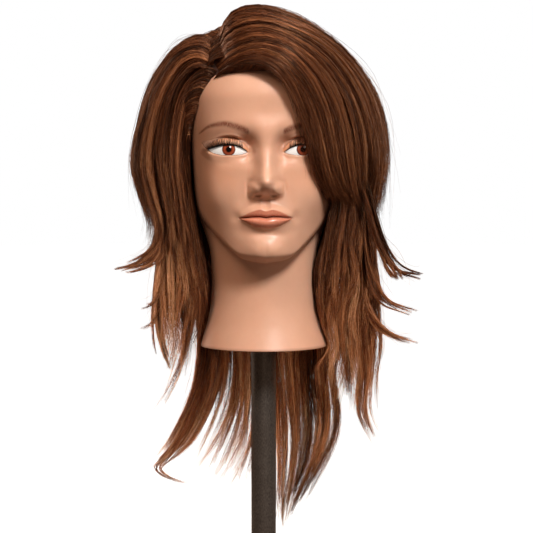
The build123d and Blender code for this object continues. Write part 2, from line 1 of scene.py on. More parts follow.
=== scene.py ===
"""A vinyl styling head with painted face, acrylic eyes and long brown hair, on a clamp post.

The face looks along -Y, +Z is up and x > 0 is the head's own left. Left and right in names are the
head's own. Sizes are in mm and become metres as meshes are made. A "height" on the head is measured
from the neck's lower rim, and "across" is the distance from the middle plane, |x|.
"""
import bpy
import json
import math
import numpy as np
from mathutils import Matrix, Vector

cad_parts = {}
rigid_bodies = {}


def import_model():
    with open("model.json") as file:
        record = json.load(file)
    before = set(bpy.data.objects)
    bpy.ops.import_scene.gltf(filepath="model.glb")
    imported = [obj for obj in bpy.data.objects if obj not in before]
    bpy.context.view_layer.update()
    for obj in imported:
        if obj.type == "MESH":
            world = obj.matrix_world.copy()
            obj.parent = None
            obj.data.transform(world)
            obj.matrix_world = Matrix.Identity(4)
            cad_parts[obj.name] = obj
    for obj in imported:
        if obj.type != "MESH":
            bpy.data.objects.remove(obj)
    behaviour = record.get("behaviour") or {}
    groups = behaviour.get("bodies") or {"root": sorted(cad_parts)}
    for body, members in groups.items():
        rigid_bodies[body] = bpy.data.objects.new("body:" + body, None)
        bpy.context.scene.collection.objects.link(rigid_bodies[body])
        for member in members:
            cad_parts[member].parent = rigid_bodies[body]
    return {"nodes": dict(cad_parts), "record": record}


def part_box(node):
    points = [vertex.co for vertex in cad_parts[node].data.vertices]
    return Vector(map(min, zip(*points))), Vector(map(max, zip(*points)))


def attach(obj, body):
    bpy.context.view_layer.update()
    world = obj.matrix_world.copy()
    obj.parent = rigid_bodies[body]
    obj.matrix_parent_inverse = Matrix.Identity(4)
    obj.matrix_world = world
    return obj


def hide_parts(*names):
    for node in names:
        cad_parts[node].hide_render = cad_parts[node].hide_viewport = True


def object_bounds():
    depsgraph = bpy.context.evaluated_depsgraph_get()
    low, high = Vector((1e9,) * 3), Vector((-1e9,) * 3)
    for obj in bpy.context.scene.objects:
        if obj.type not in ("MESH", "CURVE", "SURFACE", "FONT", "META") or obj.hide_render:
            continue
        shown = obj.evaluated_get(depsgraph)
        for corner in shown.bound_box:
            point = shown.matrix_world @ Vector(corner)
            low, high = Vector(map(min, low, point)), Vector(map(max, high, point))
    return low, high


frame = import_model()
SCENE = bpy.context.scene
MM = 0.001
CAD_BOUNDS = [[float(value) for value in corner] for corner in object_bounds()]
NECK = round(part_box("head_skin")[0].z * 1000.0, 2)      # z of the neck's lower rim


# ------------------------------------------------------------------ curves and meshes
def curve(stations, values, x):
    """Smooth curve through points, with no overshoot, level beyond its ends."""
    stations, values = np.asarray(stations, float), np.asarray(values, float)
    step = np.diff(stations)
    slope = np.diff(values) / step
    tangent = np.zeros(len(stations))
    for i in range(1, len(stations) - 1):
        if slope[i - 1] * slope[i] > 0:
            before, after = 2 * step[i] + step[i - 1], step[i] + 2 * step[i - 1]
            tangent[i] = (before + after) / (before / slope[i - 1] + after / slope[i])
    tangent[0], tangent[-1] = slope[0], slope[-1]
    x = np.clip(np.asarray(x, float), stations[0], stations[-1])
    k = np.clip(np.searchsorted(stations, x) - 1, 0, len(stations) - 2)
    part = (x - stations[k]) / step[k]
    square, cube = part * part, part * part * part
    return ((2 * cube - 3 * square + 1) * values[k]
            + (cube - 2 * square + part) * step[k] * tangent[k]
            + (-2 * cube + 3 * square) * values[k + 1]
            + (cube - square) * step[k] * tangent[k + 1])


def ease(start, end, x):
    """0 before start, 1 after end, and a smooth step between."""
    part = np.clip((np.asarray(x, float) - start) / (end - start), 0, 1)
    return part * part * (3 - 2 * part)


def bell(x, height, x_mid, height_mid, x_size, height_size, power=1.0):
    """A smooth mound of height 1. A higher power gives it a flatter top."""
    reach = ((x - x_mid) / x_size) ** 2 + ((height - height_mid) / height_size) ** 2
    return np.exp(-reach ** power)


def make_mesh(name, points, quads, tris=()):
    """A smooth-shaded mesh object from points in mm and index arrays."""
    mesh = bpy.data.meshes.new(name)
    coords = np.asarray(points, np.float32) * MM
    mesh.vertices.add(len(coords))
    mesh.vertices.foreach_set("co", coords.ravel())
    groups = [np.asarray(quads, np.int32).reshape(-1, 4), np.asarray(tris, np.int32).reshape(-1, 3)]
    corners = np.concatenate([group.ravel() for group in groups])
    sizes = np.concatenate([np.full(len(group), group.shape[1], np.int32) for group in groups])
    mesh.loops.add(len(corners))
    mesh.loops.foreach_set("vertex_index", corners)
    mesh.polygons.add(len(sizes))
    mesh.polygons.foreach_set("loop_start", (np.cumsum(sizes) - sizes).astype(np.int32))
    mesh.update(calc_edges=True)
    mesh.polygons.foreach_set("use_smooth", np.full(len(sizes), True))
    mesh.validate()
    obj = bpy.data.objects.new(name, mesh)
    SCENE.collection.objects.link(obj)
    return obj


def grid_quads(rows, columns, closed=True):
    """Quads over a grid of points. A closed grid joins its last column to its first."""
    i, j = np.meshgrid(np.arange(rows - 1), np.arange(columns if closed else columns - 1),
                       indexing="ij")
    following = (j + 1) % columns
    low, high = i * columns, (i + 1) * columns
    return np.stack([low + j, low + following, high + following, high + j], -1).reshape(-1, 4)


def cap_tris(ring, centre, flip=False):
    """Triangles from a ring of points to a centre point."""
    tris = np.stack([ring, np.roll(ring, -1), np.full(len(ring), centre)], -1)
    return tris[:, [1, 0, 2]] if flip else tris


def tubes(name, paths, radii, seed, shade=None):
    """Closed three-sided tubes. paths is strands x points x 3, and radii is strands x points.

    The UV map holds each strand's shade in u and the place along it in v.
    """
    strands, points = radii.shape
    rng = np.random.default_rng(seed)
    along = np.gradient(paths, axis=1)
    along /= np.linalg.norm(along, axis=2, keepdims=True) + 1e-9
    side = rng.normal(size=(strands, 1, 3))
    mean_along = along.mean(1, keepdims=True)
    side -= (side * mean_along).sum(2, keepdims=True) * mean_along
    normal = side - (side * along).sum(2, keepdims=True) * along
    normal /= np.linalg.norm(normal, axis=2, keepdims=True) + 1e-9
    binormal = np.cross(along, normal)
    angle = (2 * np.pi * np.arange(3) / 3)[:, None]
    ring = normal[:, :, None] * np.cos(angle) + binormal[:, :, None] * np.sin(angle)
    verts = (paths[:, :, None] + ring * radii[:, :, None, None]).reshape(-1, 3)
    first = np.arange(strands) * points * 3
    last = first + (points - 1) * 3
    quads = grid_quads(points, 3)[None] + first[:, None, None]
    tris = np.concatenate([np.stack([first + 2, first + 1, first], -1),
                           np.stack([last, last + 1, last + 2], -1)])
    obj = make_mesh(name, verts, quads, tris)
    if shade is None:
        shade = rng.random(strands)
    shade_at = np.repeat(np.asarray(shade, np.float32), points * 3)
    place = np.linspace(0.002, 0.998, points).astype(np.float32)
    place_at = np.tile(np.repeat(place, 3), strands)
    corners = np.zeros(len(obj.data.loops), np.int32)
    obj.data.loops.foreach_get("vertex_index", corners)
    uv_map = obj.data.uv_layers.new(name="OFBake")
    uv_map.data.foreach_set("uv", np.stack([shade_at[corners], place_at[corners]], 1).ravel())
    return obj


def assign(obj, material):
    obj.data.materials.clear()
    obj.data.materials.append(material)


def fit(obj, material, replaces=(), rides="head"):
    assign(obj, material)
    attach(obj, rides)
    if replaces:
        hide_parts(*replaces)


# ------------------------------------------------------------------ shader tools
def srgb(*channels):
    """Linear RGBA from 0..255 display values."""
    scaled = [value / 255.0 for value in channels]
    return (*[value / 12.92 if value <= 0.04045 else ((value + 0.055) / 1.055) ** 2.4
              for value in scaled], 1.0)


class Material:
    """A node material, built by methods that each add a node and return its output."""

    def __init__(self, name):
        self.material = bpy.data.materials.new(name)
        self.material.use_nodes = True
        self.tree = self.material.node_tree
        self.shader = self.tree.nodes["Principled BSDF"]

    def put(self, socket, value):
        if isinstance(value, bpy.types.NodeSocket):
            self.tree.links.new(value, socket)
        else:
            socket.default_value = value

    def add(self, kind, inputs=None, **props):
        node = self.tree.nodes.new(kind)
        for key, value in props.items():
            setattr(node, key, value)
        for key, value in (inputs or {}).items():
            self.put(node.inputs[key], value)
        return node

    def set(self, **inputs):
        for key, value in inputs.items():
            self.put(self.shader.inputs[key.replace("_", " ")], value)

    def coords(self):
        return self.add("ShaderNodeTexCoord").outputs["Object"]

    def attribute(self, name):
        return self.add("ShaderNodeAttribute", attribute_name=name).outputs["Fac"]

    def split(self, vector):
        return self.add("ShaderNodeSeparateXYZ", {"Vector": vector}).outputs

    def combine(self, x, y, z):
        return self.add("ShaderNodeCombineXYZ", {"X": x, "Y": y, "Z": z}).outputs[0]

    def stretch(self, vector, scale, rotation=(0, 0, 0)):
        inputs = {"Vector": vector, "Scale": scale, "Rotation": rotation}
        return self.add("ShaderNodeMapping", inputs).outputs[0]

    def noise(self, vector, scale, detail=3.0, rough=0.5, distort=0.0):
        inputs = {"Vector": vector, "Scale": scale, "Detail": detail, "Roughness": rough,
                  "Distortion": distort}
        return self.add("ShaderNodeTexNoise", inputs).outputs["Fac"]

    def cells(self, vector, scale):
        inputs = {"Vector": vector, "Scale": scale}
        return self.add("ShaderNodeTexVoronoi", inputs).outputs["Distance"]

    def mix(self, factor, first, second):
        inputs = {0: factor, 6: first, 7: second}
        return self.add("ShaderNodeMix", inputs, data_type="RGBA", blend_type="MIX").outputs[2]

    def math(self, operation, first, second=0.0, clamp=False):
        inputs = {0: first, 1: second}
        return self.add("ShaderNodeMath", inputs, operation=operation, use_clamp=clamp).outputs[0]

    def times(self, first, second, clamp=False):
        return self.math("MULTIPLY", first, second, clamp)

    def remap(self, value, span, to=(0.0, 1.0), kind="LINEAR"):
        inputs = {"Value": value, "From Min": span[0], "From Max": span[1],
                  "To Min": to[0], "To Max": to[1]}
        return self.add("ShaderNodeMapRange", inputs, interpolation_type=kind).outputs["Result"]

    def ramp(self, value, stops):
        node = self.add("ShaderNodeValToRGB", {"Fac": value})
        elements = node.color_ramp.elements
        while len(elements) < len(stops):
            elements.new(0.5)
        for element, (position, colour) in zip(elements, stops):
            element.position = position
            element.color = srgb(*colour)
        return node.outputs["Color"]

    def bump(self, height, strength, distance, normal=None):
        inputs = {"Strength": strength, "Distance": distance, "Height": height}
        if normal is not None:
            inputs["Normal"] = normal
        return self.add("ShaderNodeBump", inputs).outputs["Normal"]

    def tint(self, below, attribute, amount, colour, clamp=False):
        """Paint a colour over another where a mesh attribute says."""
        factor = self.times(self.attribute(attribute), amount, clamp)
        return self.mix(factor, below, colour)


# ------------------------------------------------------------------ finishes of the CAD parts
# bump_depth is in metres. grain is the scale of the fine noise, drawn out by stretch.
SLOT_FINISHES = {
    "black_powder_coat": dict(
        base=(44, 40, 38), dark=(24, 22, 22), wear=(86, 76, 66), rough=0.46, metallic=0.0,
        grain=1500, bump_depth=0.0003, bump_strength=0.45, coat=0.05),
    "zinc_steel": dict(
        base=(196, 198, 202), dark=(150, 153, 158), wear=(120, 116, 108), rough=0.30,
        metallic=1.0, grain=700, stretch=(1, 1, 4), bump_strength=0.12),
    "brass": dict(
        base=(198, 160, 92), dark=(158, 122, 62), wear=(110, 84, 44), rough=0.30, metallic=1.0,
        grain=600, bump_strength=0.1),
    "black_plastic": dict(
        base=(34, 34, 36), dark=(22, 22, 24), wear=(60, 60, 62), rough=0.42, metallic=0.0,
        grain=2200, bump_depth=0.0003, bump_strength=0.5),
    "black_rubber": dict(
        base=(38, 38, 38), dark=(22, 22, 22), wear=(72, 70, 66), rough=0.78, metallic=0.0,
        grain=1100, bump_depth=0.0004, bump_strength=0.6),
    "nylon": dict(
        base=(226, 222, 208), dark=(206, 200, 184), wear=(180, 172, 150), rough=0.42,
        metallic=0.0, grain=500, bump_strength=0.1),
    "foam": dict(
        base=(226, 206, 150), dark=(196, 172, 116), rough=0.9, metallic=0.0, grain=420,
        bump_depth=0.0008, bump_strength=0.8),
    "socket_plastic": dict(
        base=(206, 186, 160), dark=(184, 162, 136), wear=(150, 128, 104), rough=0.45,
        metallic=0.0, grain=1200, bump_strength=0.2),
    "scalp_vinyl": dict(
        base=(62, 34, 22), dark=(36, 18, 11), rough=0.7, metallic=0.0, grain=900,
        bump_depth=0.0005, bump_strength=0.6),
}
POST_FINISH = dict(
    base=(142, 132, 124), dark=(92, 86, 81), wear=(96, 84, 70), rough=0.32, metallic=0.8,
    grain=1300, stretch=(1, 1, 0.35), bump_strength=0.35)
POLISHED_FINISH = dict(
    base=(214, 215, 218), dark=(186, 188, 192), wear=(140, 138, 132), rough=0.16, metallic=1.0,
    grain=500, stretch=(5, 1, 1), bump_strength=0.06)


def finish_material(name, base, dark, rough, metallic, grain, bump_strength, wear=None, coat=0.0,
                    stretch=(1, 1, 1), bump_depth=0.0002):
    """A metal or coated finish with grain, uneven roughness and worn places."""
    m = Material(name)
    coords = m.coords()
    fine = m.noise(m.stretch(coords, stretch), scale=grain, detail=4, rough=0.6)
    broad = m.noise(coords, scale=26, detail=4, rough=0.6)
    colour = m.mix(m.remap(fine, span=(0.3, 0.7)), srgb(*dark), srgb(*base))
    if wear is not None:
        patches = m.noise(coords, scale=140, detail=5, rough=0.7)
        worn = m.times(m.remap(patches, span=(0.60, 0.74)), m.remap(broad, span=(0.45, 0.65)),
                       clamp=True)
        colour = m.mix(m.times(worn, 0.6), colour, srgb(*wear))
    m.set(Base_Color=colour, Metallic=metallic,
          Roughness=m.remap(broad, span=(0.3, 0.7), to=(rough - 0.07, rough + 0.09)),
          Coat_Weight=coat, Coat_Roughness=0.25)
    m.set(Normal=m.bump(fine, bump_strength, bump_depth))
    return m.material


slot_materials = {name: finish_material(name, **values) for name, values in SLOT_FINISHES.items()}
polished = finish_material("polished_steel", **POLISHED_FINISH)
part_materials = {"post_tube": finish_material("post_tube_satin_black", **POST_FINISH),
                  "tommy_bar": polished, "roll_pin": polished}
part_slots = {part["node"]: part["material_slot"] for part in frame["record"]["subparts"]}
for part_name, part in frame["nodes"].items():
    finish = part_materials.get(part_name) or slot_materials.get(part_slots.get(part_name, ""))
    if finish is not None:
        assign(part, finish)

# ------------------------------------------------------------------ head dimensions
# cross-sections: height, half width, depth to the front, depth to the rear, power of the front
HEAD_FORM = np.array([
    (0.0, 63.0, 62.0, 64.0, 2.0), (10.0, 60.3, 58.5, 62.0, 2.0), (25.0, 56.0, 54.0, 60.0, 2.0),
    (45.0, 52.6, 50.5, 58.0, 2.0), (62.0, 52.0, 49.5, 57.5, 2.0), (76.0, 52.4, 52.0, 58.5, 1.95),
    (86.0, 52.8, 60.0, 60.5, 1.8), (95.0, 53.8, 72.0, 64.0, 1.75), (105.0, 56.5, 79.5, 68.0, 1.8),
    (117.0, 60.5, 82.0, 74.0, 1.9), (131.0, 65.5, 82.0, 81.0, 2.0), (150.0, 68.8, 81.0, 89.0, 2.1),
    (172.0, 70.8, 81.5, 96.0, 2.15), (196.0, 72.6, 83.5, 101.0, 2.2),
    (220.0, 74.6, 87.5, 103.0, 2.25), (245.0, 75.4, 87.5, 101.0, 2.25),
    (265.0, 73.0, 82.5, 95.0, 2.2), (283.0, 66.5, 72.5, 84.5, 2.1), (298.0, 56.5, 59.0, 70.0, 2.0),
    (309.0, 43.5, 43.0, 53.0, 2.0), (317.0, 27.0, 25.0, 34.0, 2.0), (321.0, 12.0, 10.0, 16.0, 2.0),
    (322.2, 1.0, 1.0, 1.0, 2.0)])
# the neck as it would run on up inside the head, and the face as it would run on down
NECK_FORM = np.array([row for row in HEAD_FORM if row[0] <= 62] + [
    (76.0, 52.2, 49.8, 58.5, 2.0), (90.0, 52.4, 50.2, 61.5, 2.0), (105.0, 52.8, 51.0, 68.0, 2.0),
    (131.0, 54.0, 53.0, 81.0, 2.0), (150.0, 56.0, 55.0, 89.0, 2.0), (322.0, 56.0, 55.0, 89.0, 2.0)])
FACE_FORM = np.array([
    (0.0, 46.0, 66.0, 64.0, 2.0), (60.0, 48.0, 70.0, 57.5, 2.0), (80.0, 51.5, 74.0, 59.5, 2.0),
    (90.0, 53.5, 77.5, 62.0, 2.0), (105.0, 57.5, 80.5, 68.0, 1.98),
    (117.0, 61.5, 81.5, 74.0, 1.97)] + [row for row in HEAD_FORM if row[0] >= 131])

# the head's grid: rows as (start, end, step) in height, columns as (start, end, count) in degrees
# from the front
ROW_SPANS = [(0, 3, 0.75), (3, 78, 2.6), (78, 112, 0.95), (112, 145, 0.62), (145, 172, 0.72),
             (172, 186, 1.0), (186, 211, 0.42), (211, 226, 0.75), (226, 300, 3.2), (300, 322, 2.4)]
TOP_ROW = 322.0
COLUMN_SPANS = [(-180, -88, 34), (-88, -62, 16), (-62, 62, 224), (62, 88, 16), (88, 180, 34)]

# height of the jaw's lower edge, by degrees from the front
JAW_DEGREES = [0, 18.6, 35.3, 57, 74, 90, 125, 180]
JAW_HEIGHTS = [85.7, 88.6, 98.6, 111.0, 121.6, 130.0, 116, 88.5]
JAW_LEVEL = 88.5

# eye opening of the left eye in front view. The right one mirrors it.
EYE_ACROSS = [18.1, 20.5, 25.3, 32.9, 39.6, 48.3, 52.5, 55.0]
EYE_UPPER = [193.7, 195.9, 198.6, 200.6, 200.4, 198.5, 197.2, 196.2]
EYE_LOWER = [193.7, 192.5, 191.5, 190.9, 190.9, 192.3, 194.0, 196.2]
IRIS_ACROSS, IRIS_HEIGHT = 35.6, 196.4
EYEBALL_ACROSS, EYEBALL_Y, EYEBALL_HEIGHT = 36.2, -64.0, 196.0
EYEBALL_TURN = math.radians(24)                         # turned outwards

# heights of the lips and the brow, by distance across
LIP_ACROSS = [0, 3, 5.8, 12.5, 19, 23.2, 25.4]
LIP_TOP = [137.6, 138.2, 139.0, 137.4, 134.4, 132.0, 130.7]
LIP_MIDDLE = [131.3, 131.7, 132.1, 131.9, 131.2, 130.7, 130.5]
LIP_BOTTOM = [120.7, 120.8, 121.2, 123.0, 126.2, 128.9, 130.2]
BROW_ACROSS = [15.5, 17.5, 22, 28, 40.5, 53, 63, 66]
BROW_HEIGHT = [212.8, 213.6, 215.6, 217.8, 220.7, 218.9, 212.4, 210.0]
BROW_HALF = [1.0, 2.4, 2.9, 2.8, 2.3, 1.6, 0.8, 0.3]    # half its breadth

# swells of the face: amount forward, across, height, width, tallness, power
FACE_SWELLS = [
    (4.6, 0, 99.5, 17, 12, 1.15),       # chin
    (1.3, 9, 97, 9, 8, 1),
    (-2.5, 0, 115.6, 17, 4.6, 1),       # fold under the lower lip
    (2.6, 0, 133, 27, 16, 1.2),         # mouth area
    (-1.5, 28.8, 131.0, 4.5, 5.5, 1),   # mouth corners
    (-0.9, 24.0, 121, 6, 7, 1),
    (4.6, 50, 147, 13, 16, 1),          # lower cheek
    (2.4, 44, 170, 16, 16, 1),          # cheekbone
    (4.2, 55, 168, 12, 22, 1),
    (2.6, 34, 154, 15, 20, 1),          # fullness of the cheek
    (-1.1, 0, 144.5, 2.6, 5.2, 1),      # philtrum, and its ridges
    (0.6, 4.6, 144.0, 1.9, 5.2, 1),
    (1.0, 30, 222, 22, 8, 1),           # brow
    (-2.0, 68, 216, 10, 20, 1),         # temple
    (-0.8, 0, 232, 14, 12, 1),          # middle of the forehead
    (-3.4, 35, 200, 19, 10.5, 1.1),     # eye sockets
    (-6.6, 18.5, 201.5, 7.5, 8.5, 1),
    (-3.0, 17.5, 191.0, 6.5, 9.0, 1),
    (1.9, 36, 180.0, 18, 10.0, 1),      # below and beside the eye
    (0.9, 35, 186.5, 15, 3.6, 1),
    (3.4, 52, 189, 9.5, 9, 1),
    (-0.3, 33, 184.5, 15, 3.2, 1),      # tear trough
]
NOSE_SWELLS = [
    (1.4, 0, 164.8, 7.5, 5.5, 1),       # ball of the tip
    (2.2, 10.5, 170, 5.0, 8.0, 1),      # side wall, widening towards the wing
    (-0.8, 13.2, 165.4, 4.0, 2.2, 1),   # dip above the wing
    (-0.8, 8.8, 162.0, 1.7, 3.2, 1),    # groove between the tip and the wing
    (-1.5, 17.8, 158.6, 2.0, 6.0, 1),   # crease behind the wing
]
FOLD_SWELL = (-0.8, 23, 148, 5.0, 12, 1)                # from the wing to the mouth corner
# how far the nose's ridge stands forward, and how wide it is, by height
RIDGE_HEIGHTS = [148.0, 149.6, 151.4, 153.9, 157.4, 161.2, 165.2, 169.4, 174.5, 181, 190, 198, 205,
                 212, 221, 230]
RIDGE_FORWARD = [0, 0.9, 4.2, 9.9, 15.2, 18.8, 20.2, 19.2, 16.3, 12.4, 8.8, 6.0, 4.4, 3.2, 1.6, 0]
NOSE_HEIGHTS = [149, 154, 159, 164, 168, 174, 183, 195, 205, 215, 230]
NOSE_WIDTHS = [9.0, 9.6, 10.0, 10.0, 9.6, 9.0, 8.7, 8.8, 9.8, 12.5, 17]

NECK_RIM = [(0.6, -0.9), (1.8, -1.3), (3.4, -1.1), (4.0, 0.4), (4.0, 3.0)]  # inwards, upwards
NECK_RIM_LIFT = 0.9
APEX_HEIGHT = 322.3


def radius(form, angle, height):
    """Distance from the axis to a form's outline, at an angle from the front (-Y)."""
    half_width, front, rear, power = (curve(form[:, 0], form[:, k], height) for k in range(1, 5))
    side, ahead = np.abs(np.sin(angle)), np.cos(angle)
    front_out = ((side / half_width) ** power + (np.abs(ahead) / front) ** power) ** (-1 / power)
    rear_out = ((side / half_width) ** 2 + (np.abs(ahead) / rear) ** 2) ** -0.5
    return np.where(ahead >= 0, front_out, rear_out)


def eye_surface(across, height):
    """y of the eyeball's front at a place in front view."""
    half_width, half_height, depth = 22.0, 15.0, 12.0
    turn_sin, turn_cos = math.sin(EYEBALL_TURN), math.cos(EYEBALL_TURN)
    offset = across - EYEBALL_ACROSS
    rise = (height - EYEBALL_HEIGHT) / half_height
    bulge = depth * np.sqrt(np.clip(1 - (offset / 24) ** 2 - rise ** 2, 0.02, 1))
    for _ in range(8):      # settles on the place along the turned eye that is seen at this offset
        place = (offset - bulge * turn_sin) / turn_cos
        bulge = depth * np.sqrt(np.clip(1 - (place / half_width) ** 2 - rise ** 2, 0.02, 1))
    return EYEBALL_Y + place * turn_sin - bulge * turn_cos


# ------------------------------------------------------------------ head
def plain_head():
    """x, y and height over the head's grid, before the face is modelled."""
    rows = np.concatenate([np.arange(*span) for span in ROW_SPANS] + [[TOP_ROW]])
    degrees = np.concatenate([np.linspace(*span, endpoint=False) for span in COLUMN_SPANS])
    level, angle = np.meshgrid(rows, np.radians(degrees), indexing="ij")
    turn = np.abs(np.degrees(angle))
    jaw = curve(JAW_DEGREES, JAW_HEIGHTS, turn)
    # the rows follow the jaw's edge
    height = level + (jaw - JAW_LEVEL) * (ease(15, 80, level) * (1 - ease(104, 190, level)))
    over_jaw = height - jaw
    rounding = 9.0 + 13.5 * ease(20, 60, turn)
    below = 0.07 * np.exp(np.clip(over_jaw, -60, 0) / 3.5)
    above = 0.07 + 0.93 * (1 - (1 - np.clip(over_jaw / rounding, 0, 1)) ** 2.3) ** (1 / 1.9)
    neck, face, base = (radius(form, angle, height) for form in (NECK_FORM, FACE_FORM, HEAD_FORM))
    jawed = neck + (face - neck) * np.where(over_jaw <= 0, below, above)
    out = base + (jawed - base) * (1 - ease(52, 98, turn))
    out = np.where(height > 170, base, out)
    return out * np.sin(angle), -out * np.cos(angle), height


def lip_relief(across, height):
    """How far the lips stand forward, and the mask of their colour."""
    top, middle, bottom = (curve(LIP_ACROSS, line, across)
                           for line in (LIP_TOP, LIP_MIDDLE, LIP_BOTTOM))
    fullness = np.clip(1 - (across / 25.8) ** 2, 0, 1) ** 0.62
    up = np.clip((height - middle) / np.maximum(top - middle, 0.2), 0, 1)
    down = np.clip((middle - height) / np.maximum(middle - bottom, 0.2), 0, 1)
    edge = 0.35 * np.exp(-((height - top) / 1.0) ** 2)
    upper = np.where((height >= middle) & (height <= top + 7),
                     1.5 + 2.3 * np.sin(np.pi / 2 * up ** 0.75) + edge, 0)
    lower = np.where((height < middle) & (height >= bottom - 3),
                     1.2 + 3.8 * np.sin(np.pi * np.clip(down, 0, 1) ** 1.05) ** 0.75, 0)
    swell = upper * (1 - ease(0, 7, height - top)) + lower * (1 - ease(0, 3, bottom - height))
    parting = (2.7 * np.exp(-((height - middle) / 0.95) ** 2)
               * np.clip(1 - (across / 27.0) ** 6, 0, 1))
    mask = ease(-0.5, 0.5, np.minimum(top - height, height - bottom)) * (across < 25.7)
    return fullness * swell * (across < 25.8), parting, mask, middle


def model_face(x, y, height):
    """Push the face's features forward. Returns new x and y, and masks."""
    across = np.abs(x)
    forward = np.zeros_like(x)
    for amount, *place in FACE_SWELLS:
        forward += amount * bell(across, height, *place)
    nose_width = curve(NOSE_HEIGHTS, NOSE_WIDTHS, height)
    forward += (curve(RIDGE_HEIGHTS, RIDGE_FORWARD, height)
                * np.exp(-(across / nose_width) ** 2.6))
    wing = bell(across, height, 11.2, 156.8, 5.1, np.where(height > 156.8, 7.8, 6.0), 1.5)
    forward += 6.9 * wing
    for amount, *place in NOSE_SWELLS:
        forward += amount * bell(across, height, *place)
    nostril = bell(across, height, 7.6, 152.4, 3.3, 1.5, 2)
    forward -= 2.8 * nostril
    amount, *place = FOLD_SWELL
    forward += amount * bell(across, height, *place)
    lips, parting, lip_mask, lip_middle = lip_relief(across, height)
    forward += lips
    forward -= parting
    facing = np.clip((-y - 8) / 27, 0, 1)
    # the wings also swell outwards, so that they stand clear of the nose's sides
    x_out = x + np.sign(x) * 0.7 * wing * facing
    return x_out, y - forward * facing, nostril, lip_mask, lip_middle


def model_eyelids(x, y, height):
    """Lay the skin over the eyeball round each opening, and drop it behind the eyeball inside.

    Changes x, y and height in place and returns masks of the lids' parts.
    """
    across = np.abs(x)
    near = (across > 6) & (across < 70) & (height > 178) & (height < 222) & (y < -30)
    across, level, skin = across[near], height[near], y[near]
    line = np.linspace(EYE_ACROSS[0], EYE_ACROSS[-1], 220)
    upper, lower = curve(EYE_ACROSS, EYE_UPPER, line), curve(EYE_ACROSS, EYE_LOWER, line)
    outline = np.concatenate([np.stack([line, upper], 1), np.stack([line[::-1], lower[::-1]], 1)])
    gaps = (across[:, None] - outline[:, 0]) ** 2 + (level[:, None] - outline[:, 1]) ** 2
    nearest = outline[gaps.argmin(1)]
    distance = np.sqrt(gaps.min(1))
    inside = ((level < curve(EYE_ACROSS, EYE_UPPER, across))
              & (level > curve(EYE_ACROSS, EYE_LOWER, across))
              & (across > EYE_ACROSS[0]) & (across < EYE_ACROSS[-1]))
    # points close to the outline are moved onto it
    snap = distance < 0.24
    across = np.where(snap, nearest[:, 0], across)
    level = np.where(snap, nearest[:, 1], level)
    inside = inside & ~snap
    distance = np.where(snap, 0, distance)

    corner_line = np.interp(across, [18, 55], [193.9, 196.2])
    above = level > corner_line
    upness = ease(-2.6, 2.6, level - corner_line)
    along = np.clip((across - 18.1) / 36.9, 0, 1)
    reach = 1.0 + upness * (1.8 + 4.4 * np.sin(np.pi * along) ** 0.8)
    arch = np.sin(np.pi * np.clip(along, 0.06, 0.94)) ** 0.5
    weight = 1 - ease(0, 1, (distance - reach) / (8.0 - 6.2 * upness * arch))
    # below and beside the opening the skin carries on from the edge, not inwards with the eyeball
    ball = eye_surface(across, level)
    edge = eye_surface(nearest[:, 0], nearest[:, 1])
    carry = np.maximum(1 - upness, ease(52, 56, across)) * ease(0, 2.0, distance) * 0.9
    ball = np.where(inside, ball, ball + (edge - ball) * carry)
    lid_y = (ball - (0.85 + 0.5 * upness)
             + (0.5 + 0.4 * upness) * np.exp(-(distance / 0.55) ** 2))
    new_y = np.where(inside, ball + 3.0, skin + (lid_y - skin) * weight)
    # the fold that hangs over the upper lid
    fold = (np.exp(-((distance - reach - 2.4) / 1.7) ** 2) * above
            * np.sin(np.pi * np.clip((across - 14) / 46, 0, 1)) ** 0.5)
    new_y = np.where(inside, new_y, new_y - 0.7 * fold)
    x[near], y[near], height[near] = np.sign(x[near]) * across, new_y, level

    parts = {
        # painted shade along the fold that hangs over the upper lid
        "painted_crease_shade": np.where(inside, 0, np.exp(-((distance - reach - 0.6) / 0.7) ** 2) * above
                           * ease(12, 24, across) * (1 - ease(50, 60, across))),
        "rim": np.where(inside, 1.0, np.exp(-(distance / 0.55) ** 2)),
        "lid": np.where(inside, 0, above * (1 - ease(0, 1, (distance - reach) / 1.0))),
        # painted highlight: a lighter band along the lower lid's edge, where light catches it
        "under": np.where(inside, 0, (~above) * np.exp(-((distance - 1.1) / 0.9) ** 2))}
    masks = {}
    for name, values in parts.items():
        masks[name] = np.zeros_like(x)
        masks[name][near] = values
    return masks


def face_masks(x, y, height, lids, lip_mask, lip_middle, nostril):
    """Mesh attributes that the skin material paints by."""
    across = np.abs(x)
    brow_off = height - curve(BROW_ACROSS, BROW_HEIGHT, across)
    brow_half = curve(BROW_ACROSS, BROW_HALF, across)
    brow_span = ease(15.2, 18.0, across) * (1 - ease(62, 66, across))
    # painted shade: the eye sockets and the hollows beside the nose are painted darker, as their
    # shadow
    socket = bell(across, height, 20, 196, 6.5, 16) * (y < -30)
    painted_shade_by_nose = bell(across, height, 18.5, 204.0, 7.2, 7.0)
    return {
        "lips": lip_mask,
        "brow": np.exp(-(np.abs(brow_off / (brow_half + 0.25)) ** 2.6)) * brow_span * (y < -20),
        **lids,
        "shade": np.clip(painted_shade_by_nose + 0.45 * socket, 0, 1),
        # painted shadow of the lashes and the lid's fold, darkening the outer upper lid
        "painted_lash_shadow": bell(across, height, 49.5, 201.2, 8.0, 3.8, 1.3) * (y < -20)
        + 0.6 * bell(across, height, 57.5, 197.5, 3.0, 3.0) * (y < -20),
        # painted shade along the lips' parting
        "groove": np.exp(-((height - lip_middle) / 0.8) ** 2)
        * np.clip(1 - (across / 26.6) ** 6, 0, 1) * (height < 140) * (y < 0),
        # a warm blush tint that also paints the cheeks lighter, as painted light
        "cheek_blush_and_painted_light": bell(across, height, 44, 172, 17, 14) * (y < -10),
        # painted shade in the nostrils
        "nostril": nostril * (y < -60),
        "hgt": height}


